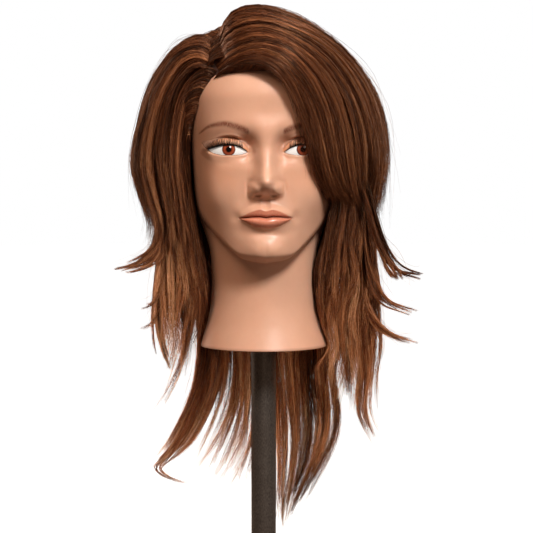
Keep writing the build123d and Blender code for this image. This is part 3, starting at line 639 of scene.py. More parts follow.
def build_head():
    x, y, height = plain_head()
    x, y, nostril, lip_mask, lip_middle = model_face(x, y, height)
    lids = model_eyelids(x, y, height)
    masks = face_masks(x, y, height, lids, lip_mask, lip_middle, nostril)

    rows, columns = x.shape
    skin = np.stack([x, y, NECK + height], -1).reshape(-1, 3)
    points, quads = [skin], [grid_quads(rows, columns)]
    # a rounded rim turns in under the neck and closes on itself
    previous = np.arange(columns)
    for k, (inwards, upwards) in enumerate(NECK_RIM):
        ring = skin[:columns].copy()
        out = np.linalg.norm(ring[:, :2], axis=1, keepdims=True)
        ring[:, :2] *= (out - inwards) / out
        ring[:, 2] = NECK + upwards + NECK_RIM_LIFT
        points.append(ring)
        current = len(skin) + k * columns + np.arange(columns)
        quads.append(np.stack([previous, current, np.roll(current, -1), np.roll(previous, -1)], -1))
        previous = current
    top = (rows - 1) * columns + np.arange(columns)
    apex = skin[top].mean(0)
    apex[2] = NECK + APEX_HEIGHT
    verts = np.concatenate(points + [points[-1].mean(0)[None], apex[None]])
    tris = np.concatenate([cap_tris(previous, len(verts) - 2)[:, [0, 2, 1]],
                           cap_tris(top, len(verts) - 1)])
    obj = make_mesh("head_skin_sculpted", verts, np.concatenate(quads), tris)
    for name, values in masks.items():
        padded = np.zeros(len(verts), np.float32)
        padded[:len(skin)] = values.reshape(-1)
        obj.data.attributes.new(name, "FLOAT", "POINT").data.foreach_set("value", padded)
    return obj


def skin_material():
    m = Material("skin_vinyl")
    coords = m.coords()
    broad = m.noise(coords, scale=18, detail=3, rough=0.55)
    mottle = m.noise(coords, scale=70, detail=4, rough=0.6)
    fine = m.noise(coords, scale=900, detail=3, rough=0.6)
    pores = m.cells(coords, scale=1500)
    colour = m.mix(broad, srgb(223, 169, 140), srgb(229, 177, 148))
    colour = m.mix(m.remap(mottle, span=(0.35, 0.75), to=(0, 0.22)), colour, srgb(208, 150, 121))
    # warm blush on the cheeks, painted lighter than the skin as painted light
    colour = m.tint(colour, "cheek_blush_and_painted_light", 0.55, srgb(242, 176, 140))
    # painted shadow in the eye sockets and beside the nose
    colour = m.tint(colour, "shade", 0.40, srgb(158, 98, 70))
    colour = m.tint(colour, "lid", 0.75, srgb(226, 158, 116))
    # painted highlight along the lower lid's edge
    colour = m.tint(colour, "under", 0.30, srgb(240, 196, 166))
    # painted shade in the upper lid's crease
    painted_crease_shade = m.times(m.attribute("painted_crease_shade"), m.remap(mottle, span=(0.2, 0.6), to=(0.75, 1.0)),
                     clamp=True)
    colour = m.mix(m.times(painted_crease_shade, 0.60), colour, srgb(112, 62, 42))
    # painted shadow of the lashes and the fold on the outer upper lid
    colour = m.tint(colour, "painted_lash_shadow", 0.58, srgb(116, 62, 40), clamp=True)
    lip_grain = m.noise(m.stretch(coords, (3.0, 1.0, 0.55)), scale=320, detail=3, rough=0.6)
    lip = m.mix(lip_grain, srgb(204, 121, 94), srgb(220, 140, 112))
    colour = m.tint(colour, "lips", 0.94, lip)
    # painted shade in the lips' parting
    colour = m.tint(colour, "groove", 0.75, srgb(92, 44, 32))
    brow_grain = m.noise(m.stretch(coords, (1.0, 0.5, 0.35), rotation=(0, 0.5, 0)),
                         scale=1100, detail=2, rough=0.5)
    brow = m.times(m.attribute("brow"), m.remap(brow_grain, span=(0.3, 0.62), to=(0.55, 1.0)),
                   clamp=True)
    colour = m.mix(m.times(brow, 0.97), colour, srgb(122, 60, 38))
    colour = m.tint(colour, "rim", 0.80, srgb(70, 34, 26))
    # painted shade in the nostrils
    colour = m.tint(colour, "nostril", 0.42, srgb(96, 48, 34))
    neck_edge = m.remap(m.attribute("hgt"), span=(0.0, 3.0), to=(0.6, 0.0))
    colour = m.mix(neck_edge, colour, srgb(150, 96, 72))
    m.set(Base_Color=colour)
    rough = m.remap(mottle, span=(0.3, 0.7), to=(0.38, 0.48))
    rough = m.math("SUBTRACT", rough, m.times(m.attribute("lips"), 0.16))
    m.set(Roughness=rough, Specular_IOR_Level=0.5, Subsurface_Weight=0.14,
          Subsurface_Radius=(0.9, 0.35, 0.2), Subsurface_Scale=0.004,
          Coat_Weight=0.12, Coat_Roughness=0.3)
    normal = m.bump(fine, strength=0.10, distance=0.0004)
    normal = m.bump(pores, strength=0.05, distance=0.0003, normal=normal)
    m.set(Normal=m.bump(mottle, strength=0.10, distance=0.0006, normal=normal))
    return m.material


# ------------------------------------------------------------------ eyes and lashes
def build_eye(side):
    """The eye insert: a domed shell with a closed back, seen through the lids."""
    mid_across, mid_height, half_width, half_height = 36.5, 196.0, 20.8, 9.6
    across, height = np.meshgrid(np.linspace(16.5, 57.5, 70), np.linspace(187.0, 205.5, 44),
                                 indexing="ij")
    # the square grid is drawn onto an oval, so that the outline is round
    part_x, part_z = (across - mid_across) / half_width, (height - mid_height) / half_height
    across = mid_across + part_x * np.sqrt(np.clip(1 - part_z * part_z / 2, 0, 1)) * half_width
    height = mid_height + part_z * np.sqrt(np.clip(1 - part_x * part_x / 2, 0, 1)) * half_height
    from_iris = np.hypot(across - IRIS_ACROSS, height - IRIS_HEIGHT)
    y = eye_surface(across, height) - 0.55 * np.clip(1 - (from_iris / 7.2) ** 2, 0, 1) ** 1.2
    front = np.stack([side * across, y, NECK + height], -1).reshape(-1, 3)
    back = front.copy()
    back[:, 1] += 2.6
    index = np.arange(across.size).reshape(across.shape)
    grid = grid_quads(*across.shape, closed=False)
    edge = np.concatenate([index[0], index[1:, -1], index[-1, -2::-1], index[-2:0:-1, 0]])
    following, count = np.roll(edge, -1), across.size
    wall = np.stack([edge, following, following + count, edge + count], -1)
    if side > 0:
        quads = [grid, grid[:, ::-1] + count, wall[:, ::-1]]
    else:
        quads = [grid[:, ::-1], grid + count, wall]
    name = "eye_insert_left" if side > 0 else "eye_insert_right"
    return make_mesh(name, np.concatenate([front, back]), np.concatenate(quads))


def eye_material(side):
    m = Material("eye_left" if side > 0 else "eye_right")

    def length_mm(x, z):
        return m.times(m.math("SQRT", m.math("ADD", m.times(x, x), m.times(z, z))), 1000.0)

    coords = m.coords()
    axes = m.split(coords)
    x = m.math("SUBTRACT", axes["X"], side * IRIS_ACROSS * MM)
    z = m.math("SUBTRACT", axes["Z"], (NECK + IRIS_HEIGHT) * MM)
    out = length_mm(x, z)
    angle = m.math("ARCTAN2", z, x)
    spoke_coords = m.combine(m.times(m.math("COSINE", angle), 5.0),
                             m.times(m.math("SINE", angle), 5.0), m.times(out, 0.12))
    spokes = m.noise(spoke_coords, scale=3.4, detail=4, rough=0.65)
    blotch = m.noise(coords, scale=260, detail=3, rough=0.5)
    veins = m.noise(coords, scale=120, detail=4, rough=0.6, distort=1.2)
    iris_radius = 6.4
    iris = m.ramp(m.math("DIVIDE", out, iris_radius), [
        (0.36, (48, 16, 10)), (0.46, (132, 52, 28)), (0.66, (182, 84, 50)),
        (0.82, (140, 56, 32)), (0.94, (42, 18, 14))])
    iris = m.mix(m.remap(spokes, span=(0.35, 0.68), to=(0.0, 0.6)), iris, srgb(84, 28, 16))
    iris = m.mix(m.remap(blotch, span=(0.5, 0.75), to=(0.0, 0.30)), iris, srgb(214, 116, 76))
    white = m.mix(m.remap(veins, span=(0.45, 0.75), to=(0, 0.25)),
                  srgb(250, 249, 247), srgb(226, 222, 220))
    in_iris = m.remap(out, span=(6.0, 6.7), to=(1.0, 0.0), kind="SMOOTHSTEP")
    colour = m.mix(in_iris, white, iris)
    in_pupil = m.remap(out, span=(2.35, 2.8), to=(1.0, 0.0), kind="SMOOTHSTEP")
    colour = m.mix(in_pupil, colour, srgb(10, 7, 7))
    # a painted point of light, above the iris's centre and towards +x
    glint = length_mm(m.math("SUBTRACT", x, 1.5 * MM), m.math("SUBTRACT", z, 2.3 * MM))
    in_glint = m.remap(glint, span=(0.65, 1.15), to=(1.0, 0.0), kind="SMOOTHSTEP")
    colour = m.mix(in_glint, colour, srgb(250, 248, 244))
    # the eye glows faintly: painted brightness that lifts the whites and the iris
    m.set(Base_Color=colour, Roughness=0.12, Specular_IOR_Level=0.55, Coat_Weight=0.6,
          Coat_Roughness=0.04, Emission_Color=colour, Emission_Strength=0.13)
    m.set(Normal=m.bump(blotch, strength=0.03, distance=0.0002))
    return m.material


def build_lashes(side, skin):
    """Upper lashes: tapered fibres rooted along the lid's edge, sweeping forwards and up."""
    rng = np.random.default_rng(11 if side > 0 else 12)
    count, points = 30, 9
    place = np.linspace(0.08, 1.0, count)
    root_across = EYE_ACROSS[0] + 1.5 + (EYE_ACROSS[-1] - EYE_ACROSS[0] - 1.7) * place
    root_height = curve(EYE_ACROSS, EYE_UPPER, root_across) + 0.15
    root_y = eye_surface(root_across, root_height) - 0.9
    length = 7.0 + 3.0 * place ** 1.3 + rng.normal(0, 0.4, count)
    # outer lashes fan outwards
    lean = (-0.22 + 0.80 * place ** 1.5 + rng.normal(0, 0.05, count))[:, None]
    along = np.linspace(0, 1, points)
    ahead = length[:, None] * (0.36 * np.sin(along * 1.45))
    rise = length[:, None] * (0.86 * along ** 1.45)
    paths = np.stack([
        side * (root_across[:, None] + math.sin(EYEBALL_TURN) * ahead + lean * rise),
        root_y[:, None] - math.cos(EYEBALL_TURN) * ahead,
        NECK + root_height[:, None] + rise * np.sqrt(np.maximum(0.1, 1 - 0.35 * lean ** 2))
        - 0.5 * np.sin(np.pi * along)], -1)
    # each lash lies over the lid, in front of the skin
    for path in paths:
        behind = np.zeros(points)
        for j in range(1, points):
            start = Vector((path[j, 0] * MM, -0.3, path[j, 2] * MM))
            hit, spot, _, _ = skin.ray_cast(start, Vector((0, 1, 0)))
            behind[j] = max(0.0, path[j, 1] - (spot.y / MM - 0.75)) if hit else 0.0
        spread = np.convolve(np.pad(behind, 1, mode="edge"), [0.25, 0.5, 0.25], "valid")
        path[:, 1] -= np.minimum(np.maximum(behind, spread), 6.0)
    radii = (0.50 + 0.22 * place[:, None]) * (1 - along[None]) ** 0.5 + 0.06
    # a thin dark line along the lid's edge joins the roots
    line_across = np.linspace(EYE_ACROSS[0] + 1.0, EYE_ACROSS[-1] + 0.8, points * 3)
    line_height = curve(EYE_ACROSS, EYE_UPPER, line_across)
    line_y = eye_surface(np.clip(line_across, 18, 55), line_height) - 1.0
    line = np.stack([side * line_across, line_y, NECK + line_height + 0.1], -1)
    line_radii = 0.72 * np.sin(np.pi * np.linspace(0.02, 0.98, points * 3)) ** 0.4
    side_name = "left" if side > 0 else "right"
    lashes = tubes("upper_lashes_" + side_name, paths, radii, seed=5)
    lash_line = tubes("lash_line_" + side_name, line[None], line_radii[None], seed=6)
    bpy.ops.object.select_all(action="DESELECT")
    lashes.select_set(True)
    lash_line.select_set(True)
    bpy.context.view_layer.objects.active = lashes
    bpy.ops.object.join()
    return lashes


def lash_material():
    m = Material("lash_fibre")
    coords = m.coords()
    colour = m.mix(m.noise(coords, scale=400, detail=2), srgb(14, 8, 6), srgb(30, 17, 13))
    grain = m.noise(coords, scale=2500, detail=2)
    m.set(Base_Color=colour, Roughness=0.45, Normal=m.bump(grain, strength=0.1, distance=0.0001))
    return m.material


head = build_head()
bpy.context.view_layer.update()         # the lashes are laid on the head by casting rays
fit(head, skin_material(), replaces=("head_skin", "foam_core"))
for side, side_name in ((1, "left"), (-1, "right")):
    fit(build_eye(side), eye_material(side), replaces=(side_name + "_eye",))
    fit(build_lashes(side, head), lash_material(),
        replaces=(side_name + "_upper_lashes",))

# ------------------------------------------------------------------ clamp screw
HUB_HEIGHT, HUB_RADIUS, SCREW_NECK = 18.0, 9.5, 7.4
THREAD_CREST, THREAD_ROOT, THREAD_PITCH, THREAD_END = 6.0, 4.75, 3.0, 5.2
SCREW_SIDES, HOLE_SIDES, HOLE_HALF = 64, 40, 14.0
BAR_CLEARANCE = 0.06
# outlines as (rise, radius): from the bottom, from the hub's top, from the thread's top, from the
# screw's top
HUB_FOOT = [(0, 7.9), (0.5, 8.6), (1.2, 9.5), (2.4, 9.5), (2.5, 9.1), (3.1, 9.1), (3.2, 9.5)]
HUB_HEAD = [(-3.2, 9.5), (-3.1, 9.1), (-2.5, 9.1), (-2.4, 9.5), (-1.2, 9.5), (-0.02, 8.3),
            (0, 5.2), (1.6, 5.0)]
PAD_NECK = [(-0.8, 5.2), (0, 4.9), (0.3, 4.5), (3.55, 4.5), (3.6, 3.6), (5.2, 3.6), (5.25, 4.5)]
SCREW_TIP = [(-0.6, 4.5), (0, 3.9)]


def build_screw():
    """A cross-drilled hub, a right-hand trapezoid thread, and the grooved neck for the pad."""
    low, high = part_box("clamp_screw")
    bar_low, bar_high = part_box("tommy_bar")
    mid_x, mid_y = (low.x + high.x) / 2 / MM, (low.y + high.y) / 2 / MM
    bottom, top = low.z / MM, high.z / MM
    hub_top, thread_top = bottom + HUB_HEIGHT, top - SCREW_NECK

    def outline(start, stations):
        return [(start + rise, out) for rise, out in stations]

    thread = [(z, THREAD_CREST) for z in np.arange(hub_top + 1.9, thread_top - 1.0, 0.2)]
    below = (outline(bottom, HUB_FOOT)
             + [(z, HUB_RADIUS) for z in np.linspace(bottom + 4.0, hub_top - 4.0, 10)]
             + outline(hub_top, HUB_HEAD))
    above = outline(thread_top, PAD_NECK) + outline(top, SCREW_TIP)
    profile = np.array(below + thread + above)
    threaded = np.repeat([False, True, False], [len(below), len(thread), len(above)])[:, None]
    angle = np.linspace(0, 2 * math.pi, SCREW_SIDES, endpoint=False)[None]
    z, out = (profile[:, k, None] + 0 * angle for k in (0, 1))
    turn = (z / THREAD_PITCH - angle / (2 * math.pi)) % 1.0
    groove = np.clip((np.abs(turn - 0.5) - 0.13) / 0.14, 0, 1)      # 0 on the crest
    full = (ease(hub_top + 1.9, hub_top + 4.4, z)
            * (1 - ease(thread_top - 3.4, thread_top - 1.0, z)))
    cut = (THREAD_END + (THREAD_CREST - THREAD_END) * full
           - (THREAD_CREST - THREAD_ROOT) * groove * full)
    out = np.where(threaded, cut, out)
    verts = np.stack([mid_x + out * np.cos(angle), mid_y + out * np.sin(angle), z], -1)
    verts = np.concatenate([verts.reshape(-1, 3), [[mid_x, mid_y, bottom], [mid_x, mid_y, top]]])
    rows, ring = len(profile), np.arange(SCREW_SIDES)
    tris = np.concatenate([cap_tris(ring, len(verts) - 2, flip=True),
                           cap_tris((rows - 1) * SCREW_SIDES + ring, len(verts) - 1)])
    screw = make_mesh("clamp_screw_threaded", verts, grid_quads(rows, SCREW_SIDES), tris)

    # the hole for the bar runs along x
    bar_z = (bar_low.z + bar_high.z) / 2 / MM
    hole_radius = (bar_high.z - bar_low.z) / 2 / MM + BAR_CLEARANCE
    angle = np.linspace(0, 2 * math.pi, HOLE_SIDES, endpoint=False)
    ends = (mid_x - HOLE_HALF, mid_x + HOLE_HALF)
    rings = [np.stack([np.full(HOLE_SIDES, x), mid_y + hole_radius * np.cos(angle),
                       bar_z + hole_radius * np.sin(angle)], -1) for x in ends]
    verts = np.concatenate(rings + [[[x, mid_y, bar_z] for x in ends]])
    ring = np.arange(HOLE_SIDES)
    tris = np.concatenate([cap_tris(ring, 2 * HOLE_SIDES, flip=True),
                           cap_tris(ring + HOLE_SIDES, 2 * HOLE_SIDES + 1)])
    cutter = make_mesh("bar_hole", verts, grid_quads(2, HOLE_SIDES), tris)
    hole = screw.modifiers.new("hole", "BOOLEAN")
    hole.operation, hole.solver, hole.object = "DIFFERENCE", "EXACT", cutter
    bpy.context.view_layer.update()
    depsgraph = bpy.context.evaluated_depsgraph_get()
    drilled = bpy.data.meshes.new_from_object(screw.evaluated_get(depsgraph))
    screw.modifiers.clear()
    screw.data = drilled
    bpy.data.objects.remove(cutter)
    drilled.polygons.foreach_set("use_smooth", np.full(len(drilled.polygons), True))
    drilled.set_sharp_from_angle(angle=math.radians(38))
    return screw


fit(build_screw(), slot_materials["zinc_steel"], replaces=("clamp_screw",),
    rides="clamp_screw")

# ------------------------------------------------------------------ scalp
# height of the hairline, by degrees from the front
HAIRLINE_DEGREES = [0, 20, 32, 38, 47, 55, 64, 76, 88, 95, 102, 130, 180]
HAIRLINE_HEIGHTS = [270.5, 270, 268.5, 266, 258, 243, 225, 205, 190, 170, 138, 112, 100]
SCALP_TOP = 321.8


def build_scalp():
    """A thin skin over the head under the hair, ending along the hairline."""
    degrees = np.linspace(-180, 180, 120, endpoint=False)
    hairline = curve(HAIRLINE_DEGREES, HAIRLINE_HEIGHTS, np.abs(degrees))[None]
    levels = np.concatenate([[0, 0.006, 0.015, 0.03], np.linspace(0.06, 0.9, 26),
                             np.linspace(0.92, 0.998, 8)])
    level, angle = np.meshgrid(levels, np.radians(degrees), indexing="ij")
    height = hairline + (SCALP_TOP - hairline) * level
    layers = []
    for offset in (1.3 * ease(0, 0.05, level) - 0.2, np.full_like(level, -1.4)):
        out = np.maximum(radius(HEAD_FORM, angle, height) + offset, 0.5)
        z = NECK + height + offset * ease(280, 320, height)
        layers.append(np.stack([out * np.sin(angle), -out * np.cos(angle), z], -1).reshape(-1, 3))
    apexes = [[[0, 0, NECK + 323.4]], [[0, 0, NECK + 320.6]]]
    rows, columns = level.shape
    count = rows * columns
    grid, ring = grid_quads(rows, columns), np.arange(columns)
    following = np.roll(ring, -1)
    rim = np.stack([ring + count, following + count, following, ring], -1)
    top = (rows - 1) * columns + ring
    tris = np.concatenate([cap_tris(top, 2 * count),
                           cap_tris(top + count, 2 * count + 1, flip=True)])
    return make_mesh("scalp_rooted", np.concatenate(layers + apexes),
                     np.concatenate([grid, grid[:, ::-1] + count, rim]), tris)


def scalp_material():
    m = Material("scalp_rooted")
    coords = m.coords()
    dots = m.cells(coords, scale=700)
    streak = m.noise(m.stretch(coords, (0.4, 1.6, 1.0)), scale=500, detail=3, rough=0.6)
    colour = m.mix(streak, srgb(30, 14, 8), srgb(70, 36, 21))
    colour = m.mix(m.remap(dots, span=(0.1, 0.45), to=(0.7, 0.0)), colour, srgb(20, 9, 6))
    m.set(Base_Color=colour, Roughness=m.remap(streak, span=(0.3, 0.7), to=(0.55, 0.75)),
          Normal=m.bump(m.math("ADD", dots, streak), strength=0.5, distance=0.0005))
    return m.material


fit(build_scalp(), scalp_material(), replaces=("scalp_cap",))


# ------------------------------------------------------------------ hair tools
def hair_material():
    """Colour by strand (u of the strand map), by place along it (v), and by height, with painted
    light that makes the tips and the locks below the neck lighter.
    """
    m = Material("brown_hair")
    strand_map = m.split(m.add("ShaderNodeUVMap", uv_map="OFBake").outputs["UV"])
    strand, along = strand_map["X"], strand_map["Y"]
    tone = m.noise(m.combine(m.times(strand, 40.0), m.times(along, 0.8), 0.3),
                   scale=1.0, detail=3, rough=0.6)
    streak = m.noise(m.combine(m.times(strand, 900.0), m.times(along, 3.0), 0.9),
                     scale=1.0, detail=2, rough=0.5)
    base = m.ramp(strand, [(0.0, (22, 10, 6)), (0.35, (54, 26, 14)), (0.62, (91, 47, 27)),
                           (0.85, (135, 77, 46)), (1.0, (184, 118, 76))])
    colour = m.mix(m.remap(tone, span=(0.35, 0.7), to=(0.0, 0.45)), base, srgb(34, 15, 8))
    colour = m.mix(m.remap(streak, span=(0.5, 0.75), to=(0.0, 0.4)), colour, srgb(150, 86, 52))
    z = m.split(m.coords())["Z"]
    # painted light: tips are lighter, as if lit through their thin ends, and more so lower down,
    # where the locks hang in shade
    painted_light_by_height = m.remap(z, span=((NECK + 170) * MM, (NECK + 20) * MM), to=(0.20, 1.0),
                      kind="SMOOTHSTEP")
    tip_painted_light = m.times(m.remap(along, span=(0.25, 0.85), to=(0.0, 0.74), kind="SMOOTHSTEP"), painted_light_by_height)
    colour = m.mix(tip_painted_light, colour, m.ramp(strand, [
        (0.0, (70, 34, 20)), (0.42, (140, 77, 45)), (0.68, (218, 142, 94)),
        (1.0, (248, 190, 142))]))
    # painted light: the locks below the neck are painted much lighter, though they hang in shade
    below = m.remap(z, span=((NECK + 35) * MM, (NECK - 70) * MM), to=(0.0, 0.72),
                    kind="SMOOTHSTEP")
    colour = m.mix(below, colour, m.ramp(strand, [
        (0.0, (74, 34, 17)), (0.35, (140, 72, 38)), (0.58, (222, 138, 86)),
        (0.78, (255, 196, 142)), (1.0, (255, 226, 186))]))
    root = m.remap(along, span=(0.0, 0.10), to=(0.3, 0.0))
    colour = m.mix(root, colour, srgb(38, 18, 10))
    m.set(Base_Color=colour, Metallic=0.35, Specular_IOR_Level=0.6,
          Roughness=m.remap(streak, span=(0.3, 0.7), to=(0.26, 0.40)),
          Specular_Tint=srgb(255, 214, 180))
    return m.material


DENSITY = 1.0                    # share of the strands that is built
STRAND_RADIUS = 0.28 / math.sqrt(DENSITY)
MESH_LIMIT = 188000                                     # faces of one hair mesh, about
CROWN_CENTRE, CROWN_HALF = np.array([0, 6.0, 240.0]), (75.6, 94.0, 81.5)
hair = hair_material()


def onto_head(points, grow=0.0):
    """The head's surface by each point, and how far outside it the point lies."""
    x, y, height = points[..., 0], points[..., 1], points[..., 2]
    angle = np.arctan2(x, -y)
    out = np.hypot(x, y) + 1e-9
    level = np.clip(height, 0, 240)
    half_width, front, rear = (np.interp(level, HEAD_FORM[:, 0], HEAD_FORM[:, k])
                               for k in (1, 2, 3))
    side, ahead = np.abs(np.sin(angle)), np.cos(angle)
    depth = np.where(ahead >= 0, front, rear)
    surface = ((side / half_width) ** 2.1 + (np.abs(ahead) / depth) ** 2.1) ** (-1 / 2.1)
    surface = np.where(height < -4, np.maximum(20, surface + (height + 4) * 0.9), surface) + grow
    low = np.stack([x * surface / out, y * surface / out, height], -1)
    # the crown is an ellipsoid
    arm = points - CROWN_CENTRE
    ratio = np.sqrt(sum((arm[..., k] / (CROWN_HALF[k] + grow)) ** 2 for k in range(3))) + 1e-9
    high = CROWN_CENTRE + arm / ratio[..., None]
    high_gap = np.linalg.norm(arm, axis=-1) * (1 - 1 / ratio)
    return (np.where((height > 240)[..., None], high, low),
            np.where(height > 240, high_gap, out - surface))


def spline(controls, place):
    """Catmull-Rom curves. controls is curves x points x 3, place is curves x samples, 0..1."""
    last = controls.shape[1] - 1
    scaled = np.clip(place, 0, 1) * last
    i = np.clip(np.floor(scaled).astype(int), 0, last - 1)
    part = (scaled - i)[..., None]
    rows = np.arange(controls.shape[0])[:, None]
    start, end = controls[rows, i], controls[rows, i + 1]
    before = np.where((i == 0)[..., None], 2 * start - end, controls[rows, np.maximum(i - 1, 0)])
    after = np.where((i == last - 1)[..., None], 2 * end - start,
                     controls[rows, np.minimum(i + 2, last)])
    return 0.5 * ((2 * start) + (-before + end) * part
                  + (2 * before - 5 * start + 4 * end - after) * part ** 2
                  + (-before + 3 * start - 3 * end + after) * part ** 3)


def between(guides, place):
    """Control points between neighbouring guides. place runs from 0 to guides - 1."""
    part = (place / (len(guides) - 1))[None]
    return np.stack([spline(guides[:, j][None], part)[0] for j in range(guides.shape[1])], axis=1)


def wander(rng, count, points, knots):
    """Smooth random curves through a few knots."""
    controls = rng.normal(0, 1, (count, knots, 3))
    return spline(controls, np.linspace(0, 1, points)[None].repeat(count, 0)) * 0.6


def add_hair(name, guides, strands, clumps, seed, depth, shorter, pull, wave, fuzz, girth=1.0,
             points=20, root_spread=0.0, stray=0.03, shade=0.0, clearance=3.4, inner=0.85,
             rooted=True, layer_bias=1.3, knots=5, tones=0.14, replaces=()):
    """Strands in clumps, between guide curves that lie side by side on the outside of the lock.

    depth: greatest thickness of the lock. inner: share of it that is used.
    shorter: greatest share by which clumps are cut, one value or one for each guide.
    pull: how far strands close up on their clump. wave, knots: how clumps wander.
    fuzz: how strands wander. stray: share of loose strands. girth: factor on the radius.
    root_spread: how far along the guides inner strands start. layer_bias: crowding outwards.
    shade, tones: offset and spread of the clumps' colour. clearance: gap to the head.
    """
    rng = np.random.default_rng(seed)
    count, last = max(16, int(strands * DENSITY)), len(guides) - 1
    clump_place = (np.arange(clumps) + rng.random(clumps)) / clumps * last
    clump_layer = rng.random(clumps) ** layer_bias      # 0 outside, 1 inside
    clump_place = np.clip(clump_place, 0, last)
    cutback = np.interp(clump_place, np.arange(last + 1), np.broadcast_to(shorter, last + 1))
    clump_length = 1 - cutback * rng.random(clumps) ** 1.5
    which = rng.integers(0, clumps, count)
    spacing = last / clumps
    place = np.clip(clump_place[which] + rng.normal(0, 1, count) * spacing * 1.6, 0, last)
    layer = np.clip(clump_layer[which] + rng.normal(0, 0.10, count), 0, 1)
    length = np.clip(clump_length[which]
                     * (1 - 0.5 * cutback[which] * rng.random(count) ** 2), 0.3, 1)
    along = np.linspace(0, 1, points)[None].repeat(count, 0)

    def lay(place, layer):
        start = layer * root_spread
        paths = spline(between(guides, place), start[:, None] + along * (length_of - start)[:, None])
        surface, gap = onto_head(paths)
        normal = paths - surface
        normal /= np.linalg.norm(normal, axis=-1, keepdims=True) + 1e-9
        drop = np.minimum(np.maximum(gap - 3.0, 0), depth) * inner * layer[:, None]
        return paths - normal * drop[..., None]

    length_of = length
    paths = lay(place, layer)
    length_of = clump_length[which] * 1.0 if False else length
    clump_paths = lay(clump_place[which], clump_layer[which])
    closing = pull * ease(0.05, 1.0, along) ** 0.8 * (0.8 + 0.4 * rng.random((count, 1)))
    paths = paths + (clump_paths - paths) * np.clip(closing, 0, 0.96)[..., None]
    paths = paths + (wander(rng, clumps, points, knots)[which] * wave
                     * (0.15 + along[..., None]) ** 1.2)
    paths = paths + wander(rng, count, points, 6) * fuzz * (0.15 + 0.85 * along[..., None])
    loose = rng.random(count) < stray
    paths[loose] += (wander(rng, int(loose.sum()), points, 4) * 11.0
                     * along[loose][..., None] ** 1.3)
    # keep off the head, and start on the scalp
    for _ in range(2):
        surface, gap = onto_head(paths)
        normal = paths - surface
        size = np.linalg.norm(normal, axis=-1, keepdims=True) + 1e-9
        normal = np.where(gap[..., None] < 0, -normal / size, normal / size)
        need = np.maximum(clearance + 1.5 * (1 - layer[:, None]) - gap, 0)
        paths = paths + normal * need[..., None]
    if rooted:
        base, gap = onto_head(paths, grow=2.1)
        freed = ease(-0.02, 0.12, along)[..., None]
        paths = np.where(gap[..., None] > 0, base + (paths - base) * freed, paths)
    # stray ends are drawn back inside the sides of the CAD's box
    x = paths[..., 0]
    x = np.where(x > 146, 164 - 18 * np.exp(-np.maximum(x - 146, 0) / 18), x)
    paths[..., 0] = np.where(x < -144, -158 + 14 * np.exp(-np.maximum(-144 - x, 0) / 14), x)
    paths[..., 2] += NECK
    radii = (STRAND_RADIUS * girth * (0.7 + 0.3 * ease(0, 0.1, along))
             * (1 - along ** 2.6 * 0.86))
    radii = radii * (0.75 + 0.5 * rng.random((count, 1))) * np.where(loose, 0.62, 1.0)[:, None]
    # inner strands are painted darker, as painted shade under the outer strands
    tone = np.clip(0.53 + shade + tones * rng.normal(size=clumps)[which]
                   + 0.20 * rng.normal(size=count) - 0.14 * layer, 0.01, 0.99)

    # large locks are shared out over several meshes
    per_mesh = int(MESH_LIMIT / (6 * (points - 1) + 2))
    order = np.argsort(np.random.default_rng(77).random(count))
    meshes = max(1, math.ceil(count / per_mesh))
    for k in range(meshes):
        chosen = order[k::meshes]
        obj = tubes(name + ("_%d" % (k + 1) if meshes > 1 else ""), paths[chosen], radii[chosen],
                    seed=9 + k, shade=tone[chosen])
        fit(obj, hair, replaces=replaces if k == 0 else ())


def table(points, text):
    """Guides from a table of x,y,height entries, root to tip, with so many points in each."""
    return np.array(text.replace(",", " ").split(), float).reshape(-1, points, 3)


# ------------------------------------------------------------------ locks of hair
add_hair("strands_top_sweep", strands=6700, clumps=230, seed=1, depth=30, root_spread=0.24,
         shorter=[0.10, 0.12, 0.16, 0.26, 0.34, 0.38, 0.42, 0.42], pull=0.32, wave=2.4, fuzz=1.7,
         inner=0.9, stray=0.07, replaces=("hair_top_left", "hair_fringe"), guides=table(10, """
-53,-60,264 -34,-78,274 -10,-92,278 11,-98,268 27,-96,247
  36,-92,224 42,-88,200 48,-80,177 56,-68,158 67,-55,143
-53,-54,272 -34,-78,288 -8,-92,296 20,-96,287 42,-93,264
  55,-88,238 62,-84,210 67,-78,180 76,-68,156 87,-56,141
-52,-44,280 -36,-68,304 -8,-82,313 24,-84,304 54,-80,284
  76,-76,256 89,-72,225 96,-67,190 98,-57,160 100,-46,138
-51,-28,286 -36,-46,318 -8,-56,327 26,-57,318 62,-54,300
  91,-50,270 108,-46,233 116,-42,194 114,-36,158 108,-30,126
-50,-4,291 -36,-12,327 -10,-16,338 26,-18,330 65,-16,306
  96,-12,275 117,-10,240 126,-8,196 123,-6,152 117,-4,112
-46,20,295 -32,20,326 -8,18,337 27,18,330 64,20,307
  96,22,274 115,24,236 124,26,190 121,26,146 115,26,104
-40,40,300 -26,44,322 -2,44,331 30,44,323 64,46,300
  91,48,269 108,50,232 116,52,186 114,52,142 110,50,98
-34,52,303 -20,60,317 2,63,325 33,63,316 65,64,293
  91,66,262 106,68,225 113,69,180 111,67,136 107,63,92"""))

